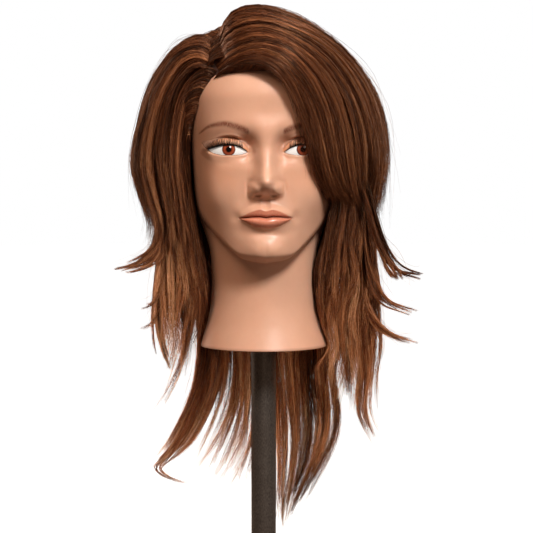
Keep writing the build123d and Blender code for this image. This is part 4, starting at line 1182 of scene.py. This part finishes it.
# rooted along the front hairline, under the sweep, and painted a little darker as painted shade
# under it
add_hair("strands_front", strands=1300, clumps=60, seed=17, depth=5, shorter=0.20, pull=0.4,
         wave=1.6, fuzz=0.7, shade=-0.08, guides=table(10, """
-53,-62,262 -44,-74,270 -30,-84,276 -12,-93,278 6,-98,271
  24,-97,250 35,-92,224 42,-87,200 49,-79,177 58,-67,157
-44,-70,268 -36,-80,275 -22,-88,281 -4,-96,280 13,-98,268
  27,-96,247 37,-92,222 43,-87,198 50,-79,176 59,-67,157
-32,-77,270 -24,-87,279 -10,-94,283 6,-98,278 20,-98,264
  31,-95,243 40,-91,219 46,-86,196 54,-78,174 62,-66,156
-18,-82,271 -10,-91,279 2,-97,282 15,-99,276 27,-97,261
  37,-94,241 45,-90,218 51,-84,195 59,-76,173 67,-65,155
-4,-84,271 3,-92,277 13,-97,277 24,-98,269 34,-96,255
  43,-92,237 50,-88,216 57,-82,194 65,-74,172 73,-62,155
10,-83,271 18,-90,273 27,-94,268 37,-94,257 46,-91,242
  54,-87,226 61,-82,207 68,-76,187 76,-67,168 84,-56,153"""))

# short inner hair over the crown, that hides the cap, painted darker as painted shade under the
# outer hair
add_hair("strands_crown", strands=900, clumps=60, seed=18, depth=2, shorter=0.10, pull=0.3,
         wave=1.0, fuzz=0.6, girth=1.2, points=14, shade=-0.15, guides=table(6, """
-60,-46,262 -60,-52,268 -57,-60,276 -50,-66,282 -40,-72,286 -26,-79,288
-60,-34,272 -58,-40,282 -52,-46,292 -42,-50,300 -30,-54,304 -14,-60,306
-60,-16,278 -57,-22,290 -50,-26,301 -40,-30,309 -26,-34,313 -10,-38,315
-58,6,282 -55,2,294 -48,-2,305 -38,-4,313 -24,-8,319 -8,-12,321
-54,28,286 -50,26,297 -44,24,306 -34,20,314 -20,18,321 -4,14,323
-46,46,290 -43,46,300 -37,44,308 -28,42,314 -14,40,320 2,38,321"""))

add_hair("strands_right_sweep", strands=3600, clumps=120, seed=2, tones=0.18, depth=30,
         root_spread=0.18, shorter=0.28, pull=0.42, wave=3.0, fuzz=1.3, inner=0.9, stray=0.07,
         replaces=("hair_top_right",), guides=table(9, """
-47,-63,267 -62,-62,276 -77,-59,270 -91,-53,249 -100,-48,216
  -103,-46,180 -99,-46,148 -95,-48,118 -92,-50,92
-47,-52,281 -65,-50,290 -84,-47,283 -102,-42,259 -113,-40,226
  -119,-38,188 -114,-38,156 -107,-40,126 -108,-44,98
-45,-31,291 -64,-32,302 -89,-30,291 -110,-28,264 -122,-28,230
  -131,-28,186 -127,-28,156 -117,-30,128 -117,-32,104
-44,-5,296 -63,-6,309 -89,-4,296 -111,-2,266 -124,0,230
  -132,2,186 -125,2,150 -116,4,120 -112,4,92
-41,19,299 -60,20,311 -85,24,297 -107,26,266 -118,28,226
  -122,30,184 -116,30,146 -108,30,112 -106,30,80
-35,37,304 -56,42,310 -80,46,294 -99,50,260 -108,52,218
  -110,54,176 -106,54,136 -100,52,100 -96,50,64
-30,50,304 -50,58,310 -74,64,291 -93,68,255 -102,71,213
  -104,73,170 -100,73,130 -94,70,92 -90,66,54"""))

# combed back from the hairline at the right temple
add_hair("strands_right_temple", strands=1800, clumps=64, seed=3, tones=0.20, depth=12,
         shorter=0.22, pull=0.45, wave=1.8, fuzz=0.7, layer_bias=1.0, clearance=2.2,
         guides=table(9, """
-47,-68,272 -56,-68,275 -70,-62,268 -84,-56,248 -92,-50,216
  -94,-48,182 -90,-48,150 -86,-50,122 -84,-52,98
-56,-60,256 -65,-60,258 -77,-54,250 -87,-48,228 -91,-44,198
  -90,-44,166 -86,-46,136 -81,-46,108 -78,-46,84
-64,-50,238 -72,-50,239 -81,-44,230 -87,-40,208 -88,-38,180
  -86,-38,150 -82,-40,122 -77,-40,96 -73,-38,74
-70,-34,216 -77,-36,216 -83,-34,206 -86,-32,186 -85,-32,160
  -82,-34,134 -78,-36,108 -73,-36,84 -69,-34,62
-71,-22,196 -77,-26,194 -81,-28,182 -82,-28,162 -80,-30,140
  -77,-32,116 -73,-34,92 -69,-32,70 -66,-30,50
-72,-12,176 -77,-16,172 -79,-20,160 -78,-24,144 -76,-28,124
  -72,-30,102 -68,-32,80 -65,-30,60 -63,-26,42"""))

add_hair("strands_right_side", strands=2400, clumps=70, seed=4, tones=0.27, depth=34,
         shorter=0.40, pull=0.6, wave=4.6, fuzz=1.2, points=22, knots=7, stray=0.05,
         replaces=("hair_side_right",), guides=table(9, """
-72,-20,200 -82,-26,170 -84,-30,140 -80,-32,110 -74,-30,85
  -69,-26,60 -66,-20,35 -64,-10,10 -64,0,-10
-74,-12,205 -92,-20,175 -96,-24,142 -93,-26,112 -90,-26,84
  -86,-24,56 -86,-20,28 -90,-16,0 -98,-14,-30
-74,-4,210 -98,-12,178 -104,-16,146 -103,-18,116 -104,-20,88
  -108,-20,60 -110,-18,34 -108,-16,8 -100,-14,-18
-74,6,210 -100,2,178 -108,0,146 -107,-2,116 -106,-4,88
  -103,-4,60 -100,-2,32 -98,0,4 -104,0,-26
-74,20,210 -98,20,178 -104,20,146 -102,20,116 -100,20,86
  -96,20,56 -92,22,28 -90,24,0 -96,24,-34
-72,36,210 -94,38,178 -100,40,146 -98,40,116 -94,40,86
  -88,40,56 -82,40,28 -78,40,0 -80,40,-30"""))

add_hair("strands_right_flick", strands=640, clumps=12, seed=5, depth=10, shorter=0.20, pull=0.72,
         wave=2.3, fuzz=0.9, clearance=4, stray=0.06, guides=table(9, """
-74,-30,240 -98,-34,216 -112,-34,186 -114,-36,156 -110,-38,130
  -112,-38,110 -122,-38,95 -136,-38,85 -153,-38,79
-74,-15,240 -100,-22,210 -116,-26,180 -116,-28,150 -108,-30,122
  -110,-32,102 -120,-34,90 -134,-36,82 -149,-37,77
-74,-10,235 -96,-20,200 -106,-24,168 -104,-28,138 -102,-30,112
  -104,-32,94 -112,-34,84 -124,-36,78 -140,-37,75"""))

# outward flicks of two guides each
RIGHT_FLICKS = table(9, """
-74,0,230 -98,-6,190 -106,-10,150 -104,-14,112 -104,-18,82
  -107,-20,62 -113,-22,50 -121,-23,44 -131,-24,43
-74,10,230 -98,4,190 -105,0,150 -102,-6,112 -102,-12,80
  -104,-16,58 -109,-18,46 -116,-20,40 -126,-21,38
-74,6,220 -96,4,178 -103,0,136 -101,-4,96 -101,-8,66
  -103,-10,44 -108,-12,30 -116,-13,22 -127,-14,19
-74,14,220 -96,12,178 -102,8,136 -99,4,96 -99,0,64
  -100,-4,40 -104,-6,26 -111,-8,18 -121,-10,14""").reshape(-1, 2, 9, 3)
for i, pair in enumerate(RIGHT_FLICKS):
    add_hair("strands_right_flick_%d" % (i + 2), pair, strands=150, clumps=4, seed=30 + i,
             depth=8, shorter=0.25, pull=0.72, wave=2.4, fuzz=1.1, girth=0.9, clearance=4,
             stray=0.08)

add_hair("strands_left_side", strands=3000, clumps=80, seed=6, tones=0.27, depth=34,
         shorter=0.38, pull=0.6, wave=4.8, fuzz=1.3, points=22, knots=7, stray=0.06,
         replaces=("hair_side_left",), guides=table(9, """
70,-30,190 74,-46,160 74,-48,130 72,-44,100 68,-36,70
  65,-26,40 65,-14,12 68,0,-15 72,10,-45
74,-20,205 86,-40,165 88,-42,130 85,-40,98 85,-34,66
  82,-26,34 84,-18,4 87,-10,-24 88,-4,-52
76,-5,210 98,-22,170 104,-26,132 102,-26,98 104,-24,64
  101,-20,32 104,-16,2 108,-12,-26 108,-8,-52
76,10,210 104,2,172 112,0,134 112,-2,98 115,-2,62
  114,-2,28 117,0,-4 114,2,-40 120,6,-90
76,28,210 104,28,172 113,28,134 114,28,98 115,26,62
  112,26,28 110,26,-4 103,28,-36 98,30,-72
72,44,210 98,48,172 108,50,134 108,50,98 106,48,62
  101,46,28 94,44,-4 87,42,-38 80,40,-80"""))

LEFT_FLICKS = table(9, """
78,-40,215 94,-52,180 105,-52,148 112,-48,122 120,-44,102
  129,-40,88 140,-38,79 150,-36,75 164,-34,73
78,-30,215 96,-42,178 108,-42,144 114,-40,116 120,-38,96
  128,-37,84 138,-36,76 148,-35,73 158,-34,70
80,-30,215 94,-40,172 100,-42,134 104,-40,102 109,-36,76
  117,-34,58 128,-32,47 141,-30,41 157,-28,37
80,-20,215 96,-30,170 103,-32,130 105,-32,96 108,-30,70
  114,-30,53 124,-29,43 136,-28,38 150,-27,33
82,-12,215 94,-22,164 98,-26,118 99,-26,82 103,-26,54
  111,-26,34 124,-26,20 140,-26,12 160,-26,8
82,-2,215 96,-12,164 101,-16,116 101,-18,78 103,-20,48
  109,-21,28 120,-22,14 134,-23,8 150,-24,5
80,-45,200 92,-56,168 101,-56,138 108,-54,114 116,-52,96
  123,-50,84 128,-50,77 132,-50,73 136,-50,69
80,-38,200 94,-50,166 104,-50,134 111,-49,110 117,-48,94
  123,-48,82 127,-48,76 130,-48,72 133,-48,68""").reshape(-1, 2, 9, 3)
for i, pair in enumerate(LEFT_FLICKS):
    add_hair("strands_left_flick_%d" % (i + 1), pair, strands=240, clumps=6, seed=20 + i,
             depth=8, shorter=0.22, pull=0.72, wave=2.4, fuzz=1.1, girth=0.95, clearance=4,
             stray=0.08)

# laid over the crown, from the rear of the top sweep down the back and both sides
add_hair("strands_crown_rear", strands=2000, clumps=90, seed=22, depth=18, root_spread=0.05,
         shorter=0.20, pull=0.45, wave=3.0, fuzz=1.3, girth=1.08, inner=0.9, stray=0.04,
         guides=table(10, """
-38,36,304 -50,44,314 -66,56,311 -84,64,288 -98,70,246
  -100,76,195 -96,78,140 -84,74,90 -74,66,40 -70,60,0
-30,40,310 -36,54,324 -48,76,312 -64,92,284 -74,104,244
  -76,108,195 -70,106,140 -60,97,90 -52,86,40 -48,78,-4
-18,42,318 -20,58,328 -26,84,316 -36,106,285 -42,119,244
  -42,123,195 -38,119,140 -32,107,90 -28,95,40 -26,86,-8
-2,42,322 0,60,329 0,88,317 2,110,285 2,122,244
  2,126,195 2,121,140 2,109,90 4,97,40 6,88,-10
14,42,322 22,58,327 32,84,314 42,105,284 48,117,244
  48,121,195 45,117,140 41,106,90 39,94,40 40,84,-8
30,42,318 44,54,319 62,74,306 78,90,280 89,100,242
  90,104,195 86,101,145 79,94,96 75,84,48 75,76,4
44,42,312 66,48,303 90,58,278 106,66,244 114,72,205
  113,74,160 108,72,115 103,66,70 99,58,25 96,52,-15
50,36,310 72,40,300 96,46,272 112,52,238 118,58,195
  116,60,150 111,58,104 106,54,60 101,48,18 98,44,-20"""))

add_hair("strands_back", strands=2700, clumps=100, seed=8, depth=34, root_spread=0.16,
         shorter=0.24, pull=0.55, wave=4.4, fuzz=1.3, points=24, knots=7, stray=0.04,
         replaces=("hair_crown_back", "hair_back_centre", "hair_back_left", "hair_back_right"),
         guides=table(10, """
-34,40,303 -66,46,312 -92,54,286 -107,58,245 -110,62,195
  -104,64,140 -88,62,80 -72,54,20 -76,46,-30 -88,40,-70
-28,55,305 -46,72,312 -66,88,288 -78,100,245 -80,104,195
  -74,102,140 -62,92,80 -52,78,20 -52,66,-35 -60,58,-90
-18,60,308 -24,84,312 -34,104,286 -40,116,245 -40,120,195
  -36,116,140 -30,102,80 -26,88,20 -25,76,-40 -30,66,-105
-6,62,309 -2,88,312 0,108,286 2,120,245 2,122,195
  2,118,140 2,104,80 4,92,20 8,80,-40 14,70,-115
6,58,308 20,84,311 36,102,286 44,114,245 44,118,195
  42,114,140 38,100,80 36,86,20 38,76,-40 44,66,-110
14,50,308 40,70,310 66,84,288 80,96,245 82,100,195
  78,98,140 72,90,80 70,76,20 73,64,-40 76,54,-92
18,38,309 52,46,312 86,52,286 106,58,245 112,62,198
  110,64,150 104,62,95 100,54,40 96,46,-12 92,38,-52"""))

# a long lock at the back, on the right
add_hair("strands_tuft_long", strands=1500, clumps=26, seed=9, tones=0.27, depth=12,
         shorter=0.10, pull=0.6, wave=3.0, fuzz=1.5, girth=0.9, points=24, knots=7, stray=0.05,
         guides=table(11, """
-34,45,303 -66,56,311 -88,66,286 -98,72,245 -100,76,195 -95,76,140
  -84,70,80 -72,60,20 -76,52,-40 -95,44,-90 -115,40,-127
-28,52,306 -52,68,312 -72,82,288 -82,90,245 -84,94,195 -78,92,140
  -66,84,80 -54,72,20 -60,60,-40 -84,48,-96 -113,40,-129
-20,58,308 -36,78,312 -50,96,288 -58,106,245 -58,110,195 -53,106,140
  -44,94,80 -36,80,20 -44,66,-40 -74,52,-102 -110,42,-130"""))

add_hair("strands_tail", strands=60, clumps=4, seed=10, depth=4, shorter=0.12, pull=0.8,
         wave=1.6, fuzz=1.2, girth=0.8, rooted=False, guides=table(10, """
-50,66,60 -50,62,20 -56,58,-20 -70,52,-62 -90,46,-100
  -108,42,-122 -113,40,-131 -106,40,-138 -94,42,-144 -80,44,-149
-44,68,60 -42,64,20 -46,60,-20 -58,54,-62 -78,48,-100
  -98,43,-124 -106,41,-133 -98,41,-140 -86,43,-146 -66,46,-152"""))

add_hair("strands_tuft_middle", strands=1500, clumps=44, seed=11, tones=0.27, depth=14,
         shorter=0.18, pull=0.62, wave=3.8, fuzz=1.8, girth=0.85, points=24, knots=7, stray=0.08,
         guides=table(11, """
-22,58,308 -34,82,312 -44,100,288 -50,110,245 -50,114,195 -46,110,140
  -38,98,80 -32,84,20 -34,72,-40 -50,58,-98 -82,48,-146
-16,60,308 -22,86,312 -30,105,287 -34,116,245 -34,119,195 -31,115,140
  -26,102,80 -22,88,20 -20,76,-40 -28,62,-100 -58,52,-152
-10,62,309 -12,88,312 -16,108,286 -18,119,245 -18,121,195 -16,118,140
  -14,104,80 -12,90,20 -10,78,-40 -14,66,-104 -34,56,-158
-4,62,309 -4,88,312 -4,108,286 -4,120,245 -4,122,195 -4,118,140
  -4,104,80 -4,90,20 -2,80,-40 -2,70,-104 -12,62,-160"""))

# sparse strands that bend between the long right lock and the post
add_hair("strands_tuft_between", strands=1050, clumps=40, seed=19, tones=0.27, depth=12,
         shorter=0.16, pull=0.74, wave=3.8, fuzz=1.3, girth=0.95, points=24, knots=7, stray=0.10,
         guides=table(11, """
-30,50,305 -56,66,311 -78,78,286 -88,86,245 -88,92,195 -82,90,140
  -68,80,80 -56,68,20 -56,60,-32 -68,52,-72 -96,44,-108
-26,54,307 -44,76,312 -60,92,288 -68,101,245 -68,106,195 -62,103,140
  -50,92,80 -41,78,20 -39,68,-30 -50,56,-74 -76,46,-126
-20,58,308 -32,82,312 -43,100,288 -48,110,245 -48,114,195 -43,110,140
  -35,98,80 -28,84,20 -26,72,-32 -34,60,-78 -60,50,-132
-12,60,309 -18,86,312 -26,106,287 -30,117,245 -30,120,195 -27,116,140
  -22,103,80 -19,89,20 -17,77,-34 -21,64,-80 -42,54,-136"""))

# locks behind the post, closing to a point on the left
add_hair("strands_tuft_left", strands=3400, clumps=64, seed=12, tones=0.27, depth=16,
         shorter=0.12, pull=0.50, wave=3.6, fuzz=1.6, girth=0.9, points=24, knots=7, stray=0.06,
         guides=table(11, """
-2,62,309 4,88,312 8,108,286 10,120,245 10,122,195 10,118,140
  10,104,80 12,90,20 14,80,-44 16,70,-118 20,60,-202
4,59,308 16,86,311 28,104,286 34,115,245 34,119,195 32,115,140
  30,101,80 30,87,20 35,76,-44 39,66,-116 22,58,-197
10,54,308 28,78,311 48,95,287 58,106,245 60,110,195 57,107,140
  53,96,80 52,82,20 60,70,-42 63,60,-106 30,56,-186
14,50,308 38,70,310 62,86,288 74,97,245 76,101,195 72,99,140
  68,88,80 68,74,20 78,62,-42 80,54,-98 42,52,-174"""))

# two pointed locks on the right, below the jaw
add_hair("strands_lock_a", strands=380, clumps=7, seed=13, tones=0.27, depth=8, shorter=0.16,
         pull=0.72, wave=2.0, fuzz=1.1, stray=0.06, guides=table(10, """
-76,4,210 -100,0,178 -108,-4,146 -107,-6,116 -107,-8,88
  -110,-10,60 -112,-10,36 -110,-10,12 -105,-10,-6 -98,-10,-24
-76,14,210 -98,10,178 -104,8,146 -103,6,116 -103,4,88
  -104,0,60 -105,-2,36 -104,-4,12 -102,-6,-6 -97,-8,-23"""))
add_hair("strands_lock_b", strands=260, clumps=9, seed=14, tones=0.27, depth=8, shorter=0.30,
         pull=0.68, wave=2.6, fuzz=1.5, girth=0.85, stray=0.08, guides=table(10, """
-72,24,205 -90,26,172 -94,26,140 -91,26,112 -86,24,84
  -80,22,56 -80,20,28 -88,18,-6 -98,16,-40 -113,14,-74
-72,34,205 -88,36,172 -90,36,140 -86,36,112 -80,34,84
  -72,32,56 -72,28,28 -80,24,-6 -92,20,-40 -110,16,-72"""))

# thin outer locks on the left
add_hair("strands_lock_c", strands=420, clumps=14, seed=15, tones=0.27, depth=12, shorter=0.18,
         pull=0.66, wave=3.0, fuzz=1.6, girth=0.85, stray=0.08, guides=table(10, """
76,22,210 100,18,172 108,14,134 110,12,98 112,10,62
  114,8,28 115,8,-4 111,8,-40 110,8,-72 124,8,-103
76,32,210 98,30,172 104,28,134 105,26,98 106,24,62
  106,22,28 106,20,-4 103,18,-40 104,16,-72 118,12,-100"""))

add_hair("strands_crown_wisps", strands=60, clumps=24, seed=16, depth=10, shorter=0.45, pull=0.5,
         wave=4.0, fuzz=2.0, girth=0.6, stray=0.3, shade=0.2, guides=table(7, """
-51,-40,283 -56,-42,296 -73,-40,299 -92,-38,290 -108,-34,266 -119,-32,236 -127,-30,204
-50,-10,290 -56,-12,305 -72,-12,309 -92,-10,298 -110,-8,272 -123,-8,238 -131,-6,200
-46,20,295 -54,20,308 -72,22,309 -92,24,296 -110,26,266 -120,28,232 -127,30,194"""))

# ------------------------------------------------------------------ floor
FLOOR_Z = CAD_BOUNDS[0][2] * 1000.0 - 2.0
FLOOR_RADII, FLOOR_SIDES = [60.0, 300.0, 900.0, 2200.0, 5000.0, 9000.0], 64


def build_floor():
    angles = np.linspace(0, 2 * math.pi, FLOOR_SIDES, endpoint=False)
    points = [[out * math.cos(angle), out * math.sin(angle), FLOOR_Z]
              for out in FLOOR_RADII for angle in angles] + [[0, 0, FLOOR_Z]]
    quads = grid_quads(len(FLOOR_RADII), FLOOR_SIDES)[:, [0, 3, 2, 1]]
    floor = make_mesh("floor", points, quads, cap_tris(np.arange(FLOOR_SIDES), len(points) - 1))
    m = Material("floor_pale")
    coords = m.coords()
    seen = m.add("ShaderNodeLightPath").outputs["Is Camera Ray"]
    pale = m.mix(m.noise(coords, scale=3, detail=2), srgb(232, 232, 231), srgb(238, 238, 237))
    # only the camera sees its pale colour and its own light, so that it doesn't fill the shadows
    m.set(Base_Color=m.mix(seen, srgb(92, 78, 68), pale), Roughness=0.9,
          Emission_Color=(1, 1, 1, 1), Emission_Strength=m.times(seen, 1.0))
    assign(floor, m.material)


build_floor()

# ------------------------------------------------------------------ lights
HEAD_CENTRE = (0, 0, NECK + 170)


def area_light(name, at, size, power, colour=(1, 1, 1), target=HEAD_CENTRE, spread=None):
    """A rectangular light turned to its target. power is in watts, spread in degrees."""
    light = bpy.data.lights.new(name, "AREA")
    light.shape = "RECTANGLE"
    light.size, light.size_y = size[0] * MM, size[1] * MM
    light.energy = power
    light.color = colour
    if spread:
        light.spread = math.radians(spread)
    obj = bpy.data.objects.new(name, light)
    SCENE.collection.objects.link(obj)
    obj.location = Vector(at) * MM
    obj.rotation_mode = "QUATERNION"
    obj.rotation_quaternion = ((Vector(target) - Vector(at)) * MM).to_track_quat("-Z", "Y")
    return obj


area_light("key", at=(590, -1461, NECK + 1400), size=(400, 400), power=38,
           colour=(1.0, 0.985, 0.955))
area_light("upper_left", at=(-900, -1180, NECK + 1620), size=(900, 900), power=14,
           colour=(1.0, 0.75, 0.58))
area_light("side", at=(1690, -980, NECK + 760), size=(900, 900), power=4.2,
           colour=(1.0, 0.86, 0.76))
area_light("front", at=(200, -2300, NECK + 420), size=(1300, 1300), power=1.1,
           colour=(1.0, 0.78, 0.62))
area_light("rim_left", at=(-1300, 900, NECK + 600), size=(500, 1100), power=16,
           colour=(1.0, 0.86, 0.74))
# two low lights that only the hair takes, for the locks hanging in the neck's shadow
only_hair = bpy.data.collections.new("lit_by_low_lights")
for obj in list(SCENE.objects):
    if obj.name.startswith("strands_"):
        only_hair.objects.link(obj)
for name, x, target_x, power in (("low_left", -1150, -30, 0.75), ("low_right", 1150, 40, 0.40)):
    low_light = area_light(name, at=(x, -1250, NECK - 160), size=(500, 300), power=power,
                           colour=(1.0, 0.90, 0.80), target=(target_x, 50, NECK - 100), spread=30)
    low_light.light_linking.receiver_collection = only_hair
area_light("rim_right", at=(1300, 900, NECK + 600), size=(500, 1100), power=12,
           colour=(1.0, 0.86, 0.74))
area_light("top", at=(150, -200, NECK + 1500), size=(700, 700), power=4)


def build_world():
    """White to the camera, and a faint warm fill to everything else."""
    world = bpy.data.worlds.new("soft_white")
    SCENE.world = world
    world.use_nodes = True
    tree = world.node_tree
    background = tree.nodes["Background"]
    seen = tree.nodes.new("ShaderNodeLightPath").outputs["Is Camera Ray"]
    strength = tree.nodes.new("ShaderNodeMapRange")
    strength.inputs["To Min"].default_value = 0.055
    strength.inputs["To Max"].default_value = 1.0
    tree.links.new(seen, strength.inputs["Value"])
    tree.links.new(strength.outputs["Result"], background.inputs[1])
    colour = tree.nodes.new("ShaderNodeMix")
    colour.data_type = "RGBA"
    colour.inputs[6].default_value = (1.0, 0.70, 0.50, 1)
    colour.inputs[7].default_value = (1, 1, 1, 1)
    tree.links.new(seen, colour.inputs[0])
    tree.links.new(colour.outputs[2], background.inputs[0])


build_world()
SCENE.view_settings.view_transform = "Standard"

# ------------------------------------------------------------------ camera
CAMERA_DISTANCE, CAMERA_HEIGHT = 1850.0, 200
CAMERA_AZIMUTH, CAMERA_TILT = math.radians(-1.7), math.radians(3.74)    # the tilt is downwards
AIM_OFFSET = 2.9            # how far it aims past the head's axis, towards +x
VIEW_WIDTH = 533.0          # width in view at the head's axis
SENSOR_WIDTH = 36

camera = bpy.data.objects.new("camera", bpy.data.cameras.new("camera"))
SCENE.collection.objects.link(camera)
camera.rotation_mode = "XYZ"
camera.location = Vector((math.sin(CAMERA_AZIMUTH) * CAMERA_DISTANCE,
                          -math.cos(CAMERA_AZIMUTH) * CAMERA_DISTANCE, NECK + CAMERA_HEIGHT)) * MM
camera.rotation_euler = (math.pi / 2 - CAMERA_TILT, 0,
                         CAMERA_AZIMUTH - math.atan(AIM_OFFSET / CAMERA_DISTANCE))
camera.data.sensor_width = SENSOR_WIDTH
camera.data.lens = SENSOR_WIDTH * CAMERA_DISTANCE / VIEW_WIDTH
camera.data.clip_start, camera.data.clip_end = 0.05, 50
SCENE.camera = camera
